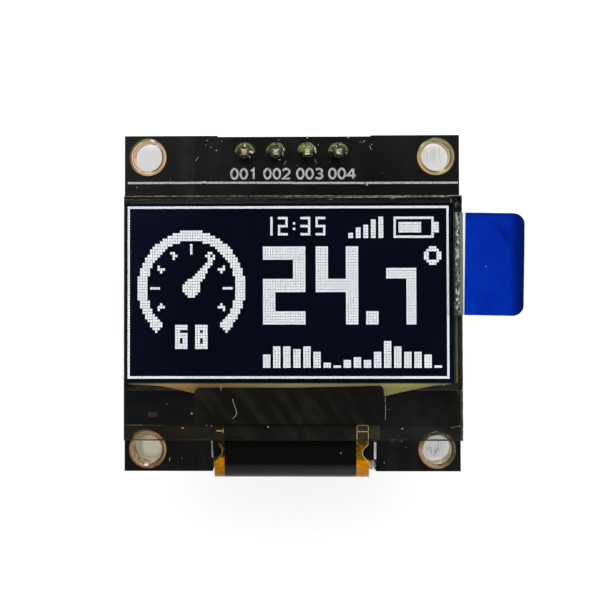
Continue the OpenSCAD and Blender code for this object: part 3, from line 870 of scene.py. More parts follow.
def add_ring(bm, x, y, r_in, r_out, z0, z1, sides=48):
    add_ribbon(bm, circle(x, y, (r_in + r_out) / 2, sides), r_out - r_in, z0, z1, closed=True)


def arc(x, y, rx, ry, a0, a1, steps):
    """Points along an elliptical arc, with angles in degrees."""
    angles = [math.radians(a0 + (a1 - a0) * i / steps) for i in range(steps + 1)]
    return [(x + rx * math.cos(a), y + ry * math.sin(a)) for a in angles]


# ---------------------------------------------------------------- screen

# The panel has 128 by 64 dots. The layer reaches past them by these margins.
COLUMNS, ROWS = 128, 64
LAYER_MARGIN = SimpleNamespace(left=0.09, right=0.35, bottom=0.28, top=0.2)
LIT_X0, LIT_X1 = LAYER.x0 + LAYER_MARGIN.left, LAYER.x1 - LAYER_MARGIN.right
LIT_Y0, LIT_Y1 = LAYER.y0 + LAYER_MARGIN.bottom, LAYER.y1 - LAYER_MARGIN.top
DOT_W, DOT_H = (LIT_X1 - LIT_X0) / COLUMNS, (LIT_Y1 - LIT_Y0) / ROWS
DOT_FILL = 0.88
DOT_GLOW = 2.28

# Strokes of a seven-segment digit: top, the two upper sides, middle, the lower sides, bottom
SEGMENTS = {
    0: "tlrLRb", 1: "rR", 2: "trmLb", 3: "trmRb", 4: "lrmR",
    5: "tlmRb", 6: "tlmLRb", 7: "trR", 8: "tlrmLRb", 9: "tlrmRb",
}


class Screen:
    """What the screen shows, as a set of lit (column, row) dots, with row 0 at the top."""

    def __init__(self):
        self.lit = set()

    def fill(self, x, y, w, h):
        self.lit |= {(i, j) for i in range(x, x + w) for j in range(y, y + h)}

    def clear(self, x, y, w, h):
        self.lit -= {(i, j) for i in range(x, x + w) for j in range(y, y + h)}

    def frame(self, x, y, w, h):
        self.fill(x, y, w, h)
        self.clear(x + 1, y + 1, w - 2, h - 2)

    def where(self, test):
        self.lit |= {(i, j) for i in range(COLUMNS) for j in range(ROWS) if test(i, j)}

    def digit(self, value, x, y, w, h, t):
        half = (h - t) // 2
        strokes = {
            "t": (x, y, w, t), "m": (x, y + half, w, t), "b": (x, y + h - t, w, t),
            "l": (x, y, t, half + t), "r": (x + w - t, y, t, half + t),
            "L": (x, y + half, t, h - half), "R": (x + w - t, y + half, t, h - half),
        }
        for name in SEGMENTS[value]:
            self.fill(*strokes[name])


def screen_content():
    """A plain instrument page: a dial, a reading, a charge mark and a row of bars."""
    s = Screen()
    s.frame(0, 0, COLUMNS, ROWS)

    # Dial: a thick open ring, ticks inside it, a needle and a hub
    dial_x, dial_y, dial_r = 25, 30, 21
    gap = 40
    needle = math.radians(52)

    def on_dial(i, j):
        dx, dy = i - dial_x, dial_y - j
        r = math.hypot(dx, dy)
        angle = math.degrees(math.atan2(dy, dx)) % 360
        ring = dial_r - 3.4 <= r <= dial_r + 0.4 and not 270 - gap < angle < 270 + gap
        tick = dial_r - 8 <= r <= dial_r - 5 and min(angle % 30, 30 - angle % 30) * r < 48
        tick = tick and not 270 - gap - 5 < angle < 270 + gap + 5
        along = dx * math.cos(needle) + dy * math.sin(needle)
        across = abs(dy * math.cos(needle) - dx * math.sin(needle))
        pointer = 0 <= along <= 15 and across < 2.2 - along * 0.11
        return ring or tick or pointer or r <= 3.6

    s.where(on_dial)
    s.digit(6, 19, 44, 5, 9, 2)
    s.digit(8, 27, 44, 5, 9, 2)

    # Reading, in thick digits with a point and a small ring after it
    left, top, w, h, t = 54, 15, 17, 29, 5
    for k, value in enumerate((2, 4)):
        s.digit(value, left + k * (w + 4), top, w, h, t)
    s.fill(left + 2 * w + 7, top + h - 5, 5, 5)
    s.digit(7, left + 2 * w + 15, top + 8, 12, 21, 4)
    s.where(lambda i, j: 1.6 <= math.hypot(i - 121, j - 18) <= 3.5)

    # Charge mark and signal bars along the top
    s.frame(106, 4, 16, 8)
    s.fill(122, 6, 2, 4)
    s.fill(108, 6, 9, 4)
    for k in range(5):
        s.fill(88 + 3 * k, 10 - 2 * k + k // 2, 2, 2 + 2 * k - k // 2)
    for k, value in enumerate((1, 2, 3, 5)):
        s.digit(value, 54 + 6 * k + (3 if k > 1 else 0), 4, 4, 7, 1)
    s.fill(66, 6, 1, 1)
    s.fill(66, 8, 1, 1)

    # A row of bars whose heights follow a slow wave
    for k in range(18):
        tall = round(5 + 3.2 * math.sin(k * 0.62) + 1.6 * math.sin(k * 1.7))
        s.fill(54 + 4 * k, 60 - tall, 3, tall)
    return s.lit


def build_screen():
    """Stands for the light-emitting layer: its dark film and the lit dots on it."""
    film = bmesh.new()
    depth = LAYER.z1 - LAYER.z0
    add_box(film, LAYER.x0, LAYER.x1, LAYER.y0, LAYER.y1, LAYER.z0, LAYER.z1 - 0.3 * depth)
    film_piece = finish_piece("screen_film", film, layer_film(), "pixels")
    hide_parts("pixel_layer")

    dots = bmesh.new()
    w, h = DOT_W * DOT_FILL / 2, DOT_H * DOT_FILL / 2
    for column, row in sorted(screen_content()):
        x, y = LIT_X0 + (column + 0.5) * DOT_W, LIT_Y1 - (row + 0.5) * DOT_H
        add_box(dots, x - w, x + w, y - h, y + h, LAYER.z1 - 0.3 * depth, LAYER.z1 - 0.1 * depth)
    finish_piece("screen_dots", dots, lit_dots(), "pixels")


# ---------------------------------------------------------------- panel details

# The flex circuit's cover film, and the spacing of its contacts
COVER_X0, COVER_X1 = -5.4, 5.11
CONTACT_PITCH = 0.62
# Height of marks just behind the front glass's rear face, drawn inside the glass so that
# the resin doesn't hide them
UNDER_GLASS = (GLASS.z0 + 0.002, GLASS.z0 + 0.008)


def build_panel_marks():
    """What shows through the ledge: the fanned metal lines, edges and small marks."""
    z0, z1 = UNDER_GLASS
    on_glass = (GLASS.z1, GLASS.z1 + 0.004)
    # The metal ends below the polarizer's edge, where the camera's slant begins to show it
    top = POLARIZER.y0 - 0.125

    # The tape's skew upper edge
    skew = [(-1.5, TAPE.y1 - 0.1), (6.9, TAPE.y1 - 0.6), (7.24, TAPE.y1 - 0.6)]
    skew += arc(6.88, TAPE.y1 - 0.2, 0.35, 0.35, 0, 90, 6)
    skew += [(5.85, TAPE.y1 + 0.125), (4.0, TAPE.y1 + 0.075), (1.0, TAPE.y1 + 0.01)]
    make_piece(
        "tape_edge", satin_black("tape_edge", (13, 13, 11), (22, 21, 18)), "black_tape",
        add_prism, (skew, TAPE.z0 + 0.01, TAPE.z1 + 0.002),
    )

    def fan(*feet):
        """Upright plates side by side, from the metal's top down to a run of foot points."""
        return [[(x0, top), (x0, y0), (x1, y1), (x1, top)] for (x0, y0), (x1, y1) in zip(feet, feet[1:])]

    outlines = [
        *fan((-13.1, top - 0.08), (-11.3, -6.49), (-10.5, -6.54), (-9.5, -6.72)),
        [(-9.5, top), (-9.5, -6.72), (-7.83, -7.11), (-7.45, top)],
        [(-7.83, -7.11), (-7.45, -6.9), (-7.45, top)],
        [(-7.45, -6.9), (7.0, -6.9), (7.0, top), (-7.45, top)],
        [(7.0, -7.3), (7.38, -7.3), (7.7, top), (7.0, top)],
        [(7.38, -7.33), (8.2, -7.13), (8.2, top), (7.7, top)],
        *fan((8.2, -7.13), (9.4, -6.87), (11.3, -6.5), (12.6, -6.39)),
    ]
    make_piece("fan_lines", fan_metal(), "sealant", add_prism, *((outline, z0, z1) for outline in outlines))

    make_piece(
        "dull_lines", arris("dull_lines", (36, 36, 32), (58, 58, 50), 0.45), "clear_glass", add_ribbon,
        ([(-12.0, -9.65), (-10.2, -9.68)], 0.07, z0, z1),
        ([(-12.6, -6.62), (-11.2, -6.64), (-9.2, -6.84)], 0.07, z0, z1),
    )
    # A dull brown patch under the glass beside the flex window
    make_piece(
        "brown_patch", stained("brown_patch", (40, 37, 28), (58, 54, 42)), "sealant",
        add_box, (6.2, 7.0, GLASS.y0 + 0.02, -9.62, z0, z0 + 0.002),
    )
    make_piece(
        "glass_lines", arris("line_grey", (40, 40, 36), (84, 84, 76), 0.4), "clear_glass", add_ribbon,
        ([(GLASS.x0 + 0.05, -9.64), (-12.0, -9.65)], 0.1, z0, z1),
        ([(7.4, -8.39), (7.85, -8.39)], 0.05, z0, z1),
        ([(13.12, -6.86), (13.26, -7.14), (13.44, -6.95)], 0.1, z0, z1),
    )
    # A bright line down the tape's right end, a painted highlight on its cut edge, and the hook at the
    # polarizer's upper right corner
    make_piece(
        "bright_edge_lines", arris("bright_edge_lines", (52, 52, 46), (124, 124, 112), 0.45), "clear_glass", add_ribbon,
        ([(7.36, -7.3), (7.39, -8.2), (7.36, -9.15)], 0.055, *on_glass),
        ([(12.56, 8.41), (12.6, 8.02)], 0.06, FILM.z1, FILM.z1 + 0.003),
        ([(12.5, -9.72), (12.9, -9.66), (GLASS.x1 - 0.06, -9.56)], 0.045, *on_glass),
        (arc(13.12, 7.86, 0.14, 0.2, 60, 250, 6), 0.05, *on_glass),
    )
    # The glass's ground edge where it overhangs the board, with painted shade: a dark strip inside the glass
    make_piece(
        "ledge_rim_shade", arris("ledge_rim_shade", (42, 42, 34), (72, 73, 64), 0.5), "clear_glass", add_box,
        (GLASS.x1 - 0.17, GLASS.x1 - 0.002, GLASS.y0 + 0.01, CAP.y0 - 0.01, GLASS.z0 + 0.01, GLASS.z1 - 0.01),
    )
    make_piece(
        "brown_mark", stained("brown_mark", (26, 18, 14), (66, 36, 22)), "sealant",
        add_box, (-11.5, -10.76, -9.0, -8.62, z0, z1),
    )
    make_piece(
        "orange_speck", stained("orange_speck", (132, 66, 50), (206, 136, 112)), "sealant",
        add_prism, (circle(-8.67, -9.75, 0.075, 12), GLASS.z1, GLASS.z1 + 0.03),
    )


# Length of one chip along an edge
CHIP_STEP = 0.35


def build_glass_arris():
    """The chipped edges of the front glass and of the sheet on it, as narrow strips."""
    rng = random.Random(4)

    def add_chips(bm, start, end, width, z, kept=1.0):
        """Short strips of uneven width from start to end, of which the kept share is there."""
        a, b = Vector(start), Vector(end)
        steps = max(1, int((b - a).length / CHIP_STEP))
        for i in range(steps):
            if rng.random() < kept:
                p, q = a.lerp(b, i / steps), a.lerp(b, (i + 1) / steps)
                add_ribbon(bm, [p, q], width * rng.uniform(0.6, 1.25), z, z + 0.004)

    def chipped(name, material, slot, dark, light, share, *edges):
        make_piece(name, arris(material, dark, light, share), slot, add_chips, *edges)

    z, film_z, inset = GLASS.z1, FILM.z1 - 0.001, 0.03
    left, right, top, foot = GLASS.x0 + inset, GLASS.x1 - inset, GLASS.y1 - inset, GLASS.y0 + inset
    chipped(
        "glass_arris", "arris", "clear_glass", (34, 34, 31), (150, 150, 140), 0.46,
        ((left, top + 0.025), (right, top + 0.005), 0.06, z),
        ((right, foot), (right, top), 0.06, z),
    )
    # Short runs of painted sheen along the glass's foot
    runs = ((-13.3, -12.2), (-8.9, -6.6), (7.2, 9.5), (9.9, 10.5))
    chipped(
        "dull_arris", "dull_arris", "clear_glass", (20, 20, 19), (84, 84, 76), 0.52,
        *(((start, foot + 0.05), (end, foot + 0.03), 0.04, z, 0.8) for start, end in runs),
        ((left, foot), (left, top), 0.035, z),
    )
    # The film's edge is faint at the left, and bright and ragged at the right
    chipped(
        "film_arris", "film_arris", "clear_film", (36, 36, 33), (92, 90, 82), 0.5,
        ((FILM.x0 + 0.02, FILM.y1 - 0.08), (-2.0, FILM.y1 - 0.03), 0.045, film_z, 0.85),
    )
    chips = ((7.9, 8.46), (8.3, 8.56), (8.6, 8.5), (8.0, 8.36), (-0.4, 8.5), (2.3, 8.5), (3.1, 8.34))
    chipped(
        "film_chips", "film_chips", "clear_film", (64, 64, 60), (176, 176, 168), 0.46,
        ((3.5, 8.5), (right - 1.0, 8.525), 0.065, z),
        *(((x - 0.16, y - 0.02), (x + 0.16, y + 0.02), 0.045, film_z) for x, y in chips),
    )
    chipped(
        "dull_chips", "dull_chips", "clear_film", (46, 46, 42), (96, 96, 90), 0.48,
        ((-2.0, 8.455), (3.5, 8.49), 0.05, z),
    )


# The tab is stuck on a little askew, and is clear as far as TAB_BLUE_X
TAB_TURN = math.radians(-1)
TAB_HALF = 4.04
TAB_PIVOT = Vector((POLARIZER.x1 - 0.45, TAB.y1 - 4.05))
TAB_LENGTH = TAB.x1 - TAB_PIVOT.x - 0.07
TAB_BLUE_X = 13.64
TAB_THICK = 0.08


def tab_height(x, y):
    """Height of the tab's underside: flat where stuck, curling up at its end, slightly wavy."""
    curl_x, curl_r = TAB.x1 - 2.02, 6.0
    rise = 0.0
    if x > curl_x:
        rise = curl_r - math.sqrt(max(0.0, curl_r**2 - (x - curl_x) ** 2))
    free = max(0.0, min(1.0, (x - TAB_BLUE_X) / 2.0))
    wave = 0.018 * free * (math.sin(x * 1.3 + y * 0.8) + 1)
    return TAB.z0 + rise * 0.9 + wave


def build_tab():
    """Stands for the pull tab: a clear stuck-down end and a blue free end with round corners."""
    corner, rows = 0.85, 16
    cos, sin = math.cos(TAB_TURN), math.sin(TAB_TURN)

    def sheet(name, u0, u1, columns, material, slot):
        """The tab from u0 to u1 along its length; columns crowd towards a rounded end."""
        bm = bmesh.new()
        grid = []
        for i in range(columns + 1):
            share = i / columns
            u = u0 + (u1 - u0) * (math.sin(share * math.pi / 2) if u1 == TAB_LENGTH else share)
            past = max(0.0, u - (TAB_LENGTH - corner))
            half = TAB_HALF - corner + math.sqrt(max(0.0, corner**2 - past**2))
            low, high = [], []
            for j in range(rows + 1):
                v = half * (2 * j / rows - 1)
                x, y = TAB_PIVOT.x + u * cos - v * sin, TAB_PIVOT.y + u * sin + v * cos
                z = tab_height(x, y)
                low.append(bm.verts.new((x, y, z)))
                high.append(bm.verts.new((x, y, z + TAB_THICK)))
            grid.append((low, high))
        add_skin(bm, [low + high[::-1] for low, high in grid])
        add_skin(bm, grid[0], closed=False)
        add_skin(bm, grid[-1], closed=False)
        return finish_piece(name, bm, material, slot)

    seam = TAB_BLUE_X - TAB_PIVOT.x
    blue = sheet("tab_blue", seam, TAB_LENGTH, 28, blue_film(), "blue_film")
    sheet("tab_clear_end", 0.0, seam - 0.01, 6, speckled_glue(), "clear_film")
    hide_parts("pull_tab")


# Height of copper on the flex circuit
ON_FLEX = (FLEX.z1 + 0.0001, FLEX.z1 + 0.0005)


def build_flex_rims():
    """The flex circuit's cut edges, pale where they bend, and the dull copper round its left bite."""
    rims = []
    for x, top in ((-6.2, -12.5), (6.1, -12.6)):
        for k in range(6):
            y = top - 0.22 * k
            drop = max(0.0, -12.75 - y)
            low = FLEX.z1 - 0.02 - 0.55 * drop * drop
            rims.append(([(x, y), (x, y - 0.21)], 0.05, low - 0.06, low + 0.01))
    pale = stained("flex_rims", (130, 100, 62), (214, 186, 146))
    make_piece("flex_rims", pale, "flex", add_ribbon, *rims)
    bite = [(-5.85, -11.08), (-5.68, -11.3), (-5.55, -11.6), (-5.6, -11.95), (-5.88, -12.25)]
    make_piece(
        "flex_bite", stained("flex_bite", (96, 74, 18), (150, 118, 40)), "flex",
        add_ribbon, (bite, 0.07, *ON_FLEX),
    )


def build_flex_marks():
    """Copper alignment marks on the flex circuit, seen through the ledge."""
    x0, x1, y0, y1 = 5.13, 6.1, GLASS.y0 - 0.02, -9.63
    make_piece(
        "flex_window", stained("flex_window", (46, 34, 0), (66, 50, 8)), "flex",
        add_box, (x0, x1, y0, y1, FLEX.z1, FLEX.z1 + 0.0001),
    )
    left, right, shoulder, head = x0 + 0.03, x1 - 0.03, y1 - 0.1, y1 - 0.03
    arch = [(left, y0), (left, shoulder), (x0 + 0.13, head)]
    arch += [(x1 - 0.13, head), (right, shoulder), (right, y0)]
    # The copper's edge runs round the right bite
    bite = [(6.02, -11.2), (5.78, -11.42), (5.58, -11.72), (5.62, -12.06), (5.9, -12.4), (6.05, -12.62)]
    lines = (
        ([(-6.05, -10.1), (-5.5, -10.1)], 0.09),
        ([(-5.52, -9.93), (-5.52, -10.26)], 0.07),
        (arch, 0.06),
        ([(x0, -10.15), (x1, -10.15)], 0.07),
        ([(x0 + 0.02, y0), (x0 + 0.02, -11.1)], 0.035),
        ([(x1 - 0.04, y0), *bite], 0.04),
    )
    make_piece(
        "flex_marks", stained("flex_copper", (206, 178, 104), (250, 226, 156)), "flex",
        add_ribbon, *((*line, *ON_FLEX) for line in lines),
    )


# ---------------------------------------------------------------- board print and joints

# Thickness of the ink, and width of the printed lines on the rear
INK_T, RULE = 0.012, 0.12
PIN_PITCH = 2.54
PAD_Y = (extent("solder_joint_1").y0 + extent("solder_joint_1").y1) / 2
PIN_Y = (HEADER.y0 + HEADER.y1) / 2


def pin_x(i):
    """Place of header pin i, from 0."""
    return (i - 1.5) * PIN_PITCH


# Dark and light of each pin's cut end
PIN_CORES = (
    ((150, 112, 98), (208, 174, 158)),
    ((128, 124, 84), (226, 220, 190)),
    ((146, 146, 84), (234, 234, 200)),
    ((112, 108, 66), (236, 230, 196)),
)

# Digits as pen strokes in a box 0.7 wide and 1 high
GLYPHS = {
    0: [arc(0.34, 0.5, 0.31, 0.5, 0, 340, 14) + [(0.65, 0.5)]],
    1: [[(0.14, 0.78), (0.4, 1.0), (0.4, 0.0)]],
    2: [arc(0.35, 0.7, 0.31, 0.3, 165, -35, 8) + [(0.03, 0.0), (0.7, 0.0)]],
    3: [arc(0.33, 0.75, 0.3, 0.25, 150, -80, 7) + arc(0.33, 0.25, 0.34, 0.25, 80, -150, 8)],
    4: [[(0.5, 0.96), (0.0, 0.3), (0.76, 0.3)], [(0.54, 0.0), (0.54, 1.0)]],
}


def add_number(bm, value, x, y, height, z0, z1, mirror=False):
    """Three-figure number, with its middle at x and its foot at y."""
    text = f"{value:03d}"
    cell, pen = 0.95 * height, 0.17
    for k, figure in enumerate(text):
        left = (k - len(text) / 2) * cell + 0.1 * height
        for n, stroke in enumerate(GLYPHS[int(figure)]):
            way = -1 if mirror else 1
            path = [(x + way * (left + 1.08 * px * height), y + py * height) for px, py in stroke]
            # Strokes that cross aren't level with each other
            add_ribbon(bm, path, pen, z0, z1 + 0.002 * n)


def build_front_print():
    """The white lines and plain numbers on the board's front."""
    bm = bmesh.new()
    z0, z1 = FRONT, FRONT + INK_T
    # The line above the panel, with the small jogs of a worn screen
    add_ribbon(bm, [(-13.4, 9.8), (-7.35, 9.81), (-7.14, 9.86), (-6.95, 9.81), (0.1, 9.79)], 0.17, z0, z1)
    add_ribbon(bm, [(0.1, 9.77), (6.2, 9.76), (13.55, 9.76)], 0.17, z0, z1)
    add_ribbon(bm, [(5.95, 9.84), (6.2, 9.55)], 0.1, z0, z1)
    for number, x in enumerate((-3.9, -1.2, 1.48, 4.1), 1):
        add_number(bm, number, x, 10.13, 0.8, z0, z1)
    finish_piece("front_print", bm, print_ink("print_ink", (132, 137, 135), (190, 196, 192)), "board")
    # Two short lines beside the flex circuit: the left one is worn thin
    make_piece(
        "side_print", print_ink("print_fresh", (206, 208, 204), (236, 238, 234)), "board",
        add_ribbon, ([(6.72, -11.28), (6.72, -12.66)], 0.19, z0, z1),
    )
    make_piece(
        "worn_print", print_ink("print_worn", (112, 105, 88), (206, 200, 182)), "board",
        add_ribbon, ([(-6.53, -11.2), (-6.47, -12.56)], 0.14, z0, z1),
    )


def build_pads():
    """The header's ring pads, partly under flux."""
    rings = ((pin_x(i), PAD_Y, 0.57, 0.83, FRONT, FRONT + 0.02, 40) for i in range(4))
    make_piece("header_pads", pad_olive(), "gold_plating", add_ring, *rings)


def build_joints():
    """Stands for the solder joints: lumpy cones, each with its own lean and hollow."""
    for i in range(4):
        rng = random.Random(20 + i)
        x0 = pin_x(i)
        phase = [rng.uniform(0, 6.28) for _ in range(3)]
        foot, top, height = 0.78, 0.5, extent(f"solder_joint_{i + 1}").z1 - 0.01
        rings, sides = 10, 40
        bm = bmesh.new()
        loops = []
        for k in range(rings + 1):
            u = k / rings
            r = foot + (top - foot) * math.sin(u * math.pi / 2)
            z = height * (1 - math.cos(u * math.pi / 2))
            # The cone leans with the pin, which stands low in its hole
            middle_y = PAD_Y + (PIN_Y - PAD_Y) * u
            loop = []
            for j in range(sides):
                a = 2 * math.pi * j / sides
                lump = 0.04 * math.sin(2 * a + phase[0]) + 0.03 * math.sin(3 * a + phase[1])
                lump += 0.02 * math.sin(7 * a + phase[2]) * math.sin(math.pi * u)
                reach = r * (1 + lump * (1 - 0.5 * u))
                dip = 0.1 * (math.sin(a + phase[1]) - 1) * u
                loop.append(bm.verts.new((
                    x0 + reach * math.cos(a), middle_y + reach * math.sin(a), z * (1 + dip) + 0.005,
                )))
            loops.append(loop)
        add_skin(bm, loops)
        bm.faces.new(loops[0][::-1])
        bm.faces.new(loops[-1])
        joint = finish_piece(f"joint_{i + 1}", bm, joint_solder(i + 1, x0, PAD_Y), "solder", smooth=True)
        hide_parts(f"solder_joint_{i + 1}")


# Specks of dust: (x, y, size), on the ledge's glass, on the board and on the flex circuit's cover
DUST_ON_GLASS = [
    (-7.95, -8.62, 0.085), (-9.92, -7.85, 0.035), (-6.38, -9.6, 0.048), (-6.78, -9.56, 0.034),
    (-1.91, -9.67, 0.06), (8.7, -9.8, 0.07), (11.97, -6.34, 0.07), (-1.58, -6.67, 0.05), (-4.1, -8.0, 0.03),
    (13.4, -8.55, 0.05), (7.9, -10.83, 0.03), (8.6, -10.8, 0.03),
]
DUST_ON_BOARD = [
    (9.23, -11.7, 0.04), (7.46, -12.95, 0.05), (-6.99, 12.9, 0.04), (-6.59, 12.7, 0.04), (-6.14, 12.45, 0.06),
    (-6.91, 13.27, 0.04), (-5.7, 13.2, 0.03), (1.29, 13.5, 0.11), (4.64, 13.48, 0.09), (6.55, 12.9, 0.04),
    (5.6, 13.1, 0.035), (-12.65, 9.45, 0.05), (-9.9, 10.1, 0.03), (7.4, 10.6, 0.03), (-9.0, -12.6, 0.04),
    (-1.05, 13.3, 0.035), (0.5, 11.2, 0.03), (2.2, 12.9, 0.04), (3.1, 11.5, 0.03),
]
DUST_ON_COVER = [(3.87, -11.84, 0.06)]
# How far from a hole's middle its fibres may reach
FIBRE_REACH = 1.1
# How flat the specks lie
DUST_FLAT = 0.3
# Scratches and fibres on the board: middle, bearing in degrees and length
SCRATCHES = [
    (-7.73, 11.76, 55, 0.4), (-0.53, 11.42, 62, 0.36), (1.96, 11.56, -70, 0.4), (6.43, 12.65, -68, 0.4),
    (-9.97, -12.68, 88, 0.3), (-5.63, -6.63, 88, 0.3), (5.9, 13.15, 40, 0.3),
]


def build_dust():
    """Dust, scratches, fibres and residue, as the module in the photo has them."""
    rng = random.Random(11)
    bm = bmesh.new()
    for spots, z in (
        (DUST_ON_GLASS, GLASS.z1), (DUST_ON_BOARD, FRONT), (DUST_ON_COVER, FLEX.z1),
    ):
        for x, y, size in spots:
            made = bmesh.ops.create_icosphere(bm, subdivisions=2, radius=size)
            for v in made["verts"]:
                v.co *= rng.uniform(0.7, 1.1)
                v.co = Vector((x + v.co.x, y + v.co.y, z + DUST_FLAT * (v.co.z + size)))
    for x, y, turn, length in SCRATCHES:
        a = math.radians(turn)
        way = Vector((math.cos(a), math.sin(a))) * length / 2
        z = TAPE.z1 if -7 < y < -6 else FRONT
        add_ribbon(bm, [(x - way.x, y - way.y), (x + way.x, y + way.y)], 0.04, z, z + 0.02)
    grey = mottled("dust_grey", (0.16, 0.16, 0.15), (0.5, 0.5, 0.48), 0.8, (8.0,))
    finish_piece("dust", bm, grey, "board")

    # A bent hair on the tape
    bend = [(-4.71, -7.45), (-4.6, -7.85), (-4.46, -8.25), (-4.38, -8.62), (-4.5, -8.82), (-4.71, -9.0)]
    make_piece(
        "hair", stained("hair", (96, 94, 84), (168, 166, 150)), "board",
        add_ribbon, (bend, 0.05, TAPE.z1, TAPE.z1 + 0.03),
    )
    # Dust caught along the glass's lower edge
    y, starts = GLASS.y0 - 0.03, [7.9 + 0.2 * k for k in range(9)]
    make_piece(
        "edge_dust", arris("edge_dust", (44, 44, 40), (150, 150, 140), 0.46), "board",
        add_ribbon, *(([(x, y), (x + 0.14, y)], 0.05, GLASS.z0, GLASS.z0 + 0.02) for x in starts),
    )
    # Loose fibres across the right-hand holes: paler and longer in the upper one
    for name, hole_y, count, lengths, shades in (
        ("fibres_upper", HOLE_Y, 11, (0.8, 1.6), ((188, 190, 188), (214, 216, 214))),
        ("fibres_lower", -HOLE_Y, 12, (0.3, 0.7), ((82, 86, 76), (168, 170, 162))),
    ):
        fibres = []
        for _ in range(count):
            x = HOLE_X + rng.uniform(-0.85, 0.7)
            reach = math.sqrt(FIBRE_REACH**2 - (x - HOLE_X) ** 2)
            foot = rng.uniform(-0.9, 0.1) * reach
            top = min(foot + rng.uniform(*lengths), 0.9 * reach)
            lean = rng.uniform(-0.12, 0.04)
            z = rng.uniform(-0.9, -0.5)
            fibres.append(([(x, hole_y + foot), (x + lean, hole_y + top)], 0.03, z, z + 0.02))
        make_piece(name, stained(name, *shades), "board", add_ribbon, *fibres)
    # Dried flux across the lower left hole
    make_piece(
        "flux_film", dried_flux(), "sealant",
        add_prism, (circle(-HOLE_X, -HOLE_Y, HOLE_R - 0.02, 32), -1.2, -1.19),
    )
    # Dark notch in the flex circuit's left edge, below the bite
    nick = [(-6.19, -12.56), (-6.12, -12.56), (-6.007, -12.36), (-5.823, -12.145), (-6.19, -12.2)]
    make_piece(
        "flex_nick", stained("flex_nick", (9, 9, 8), (20, 18, 14)), "flex",
        add_prism, (nick, FLEX.z1 + 0.0003, FLEX.z1 + 0.0006),
    )
    # Torn cloth in the notch's right corner
    burr = bmesh.new()
    for _ in range(60):
        x, y = rng.uniform(6.3, 6.76), rng.uniform(-13.55, -12.75)
        made = bmesh.ops.create_icosphere(burr, subdivisions=1, radius=rng.uniform(0.06, 0.13))
        for v in made["verts"]:
            v.co = Vector((x + v.co.x, y + v.co.y, rng.uniform(-0.5, -0.14) + v.co.z))
    finish_piece("notch_burr", burr, stained("torn_cloth", (206, 198, 180), (250, 248, 242)), "board")


# ---------------------------------------------------------------- rear of the board

def build_rear_tracks():
    """Copper under the mask on the rear face: tracks from the flex contacts to the parts."""
    tracks = []
    # The tail's contacts, and where their tracks start
    contacts = 30
    start = FLEX.y0 + 9.4
    for i in range(0, contacts, 2):
        x = (i - (contacts - 1) / 2) * CONTACT_PITCH
        bend = start + 0.5 + 0.16 * abs(i - contacts / 2)
        side = 0.42 if i % 4 else -0.35
        tracks.append(([(x, start), (x, bend), (x + side, bend + abs(side)), (x + side, bend + 1.6)], 0.2))
    for i in range(4):
        x, y, turn = pin_x(i), 9.6 - 0.3 * i, (i - 1.5) * 1.2
        tracks.append(([(x, HEADER.y0 + 0.1), (x, y), (x + turn, y - abs(turn)), (x + turn, 4.2)], 0.3))
    for way in (-1, 1):
        corners = ((12.6, 9.6), (12.6, -9.0), (11.6, -10.0), (10.2, -10.0))
        tracks.append(([(way * x, y) for x, y in corners], 0.5))
    mask = solder_mask("mask_over_copper", (0.012, 0.012, 0.011), (0.018, 0.018, 0.016), 0.4)
    make_piece("rear_tracks", mask, "board", add_ribbon, *((*track, REAR - 0.018, REAR) for track in tracks))

    rng = random.Random(8)
    vias = [(rng.uniform(-11.5, 11.5), rng.uniform(5.0, 10.2)) for _ in range(26)]
    mask = solder_mask("mask_over_via", (0.02, 0.019, 0.016), (0.035, 0.032, 0.026), 0.3)
    make_piece(
        "rear_vias", mask, "board", add_ring, *((x, y, 0.12, 0.24, REAR - 0.022, REAR, 16) for x, y in vias),
    )


def build_rear_print():
    """Outlines round the parts on the rear, and the pins' numbers again."""
    bm = bmesh.new()
    z0, z1 = REAR - INK_T, REAR

    def outline(box, margin):
        x0, x1, y0, y1 = box.x0 - margin, box.x1 + margin, box.y0 - margin, box.y1 + margin
        add_ribbon(bm, [(x0, y0), (x1, y0), (x1, y1), (x0, y1)], RULE, z0, z1, closed=True)

    for kind in ("capacitor", "resistor"):
        for i in CHIPS:
            outline(extent(f"{kind}_{i}"), 0.42)
    outline(extent("diode_leads"), 0.35)
    outline(extent("regulator_leads"), 0.35)
    for i in range(4):
        add_number(bm, i + 1, pin_x(i), 9.75, 0.8, z0, z1, mirror=True)
    add_ribbon(bm, [(-9.9, -4.2), (9.9, -4.2)], RULE, z0, z1)
    finish_piece("rear_print", bm, print_ink("print_rear", (150, 155, 152), (206, 210, 206)), "board")


# ---------------------------------------------------------------- materials on the CAD nodes

def dress(node, *materials):
    """Gives a CAD node its materials."""
    mesh = nodes[node].data
    mesh.materials.clear()
    for m in materials:
        mesh.materials.append(m)


def by_face(node, choose):
    """Sets each face's material by its middle, in millimetres, and its normal."""
    for polygon in nodes[node].data.polygons:
        polygon.material_index = choose(polygon.center / MM, polygon.normal)


def dress_chip(node, body, ends, top):
    """A chip's two end caps are tinned; its top can differ from its sides."""
    box = extent(node)
    along = 0 if box.x1 - box.x0 > box.y1 - box.y0 else 1
    low, high = (box.x0, box.x1) if along == 0 else (box.y0, box.y1)
    dress(node, body, ends, top)

    def choose(middle, normal):
        if middle[along] < low + 0.31 or middle[along] > high - 0.31:
            return 1
        return 2 if normal.z < -0.5 else 0

    by_face(node, choose)


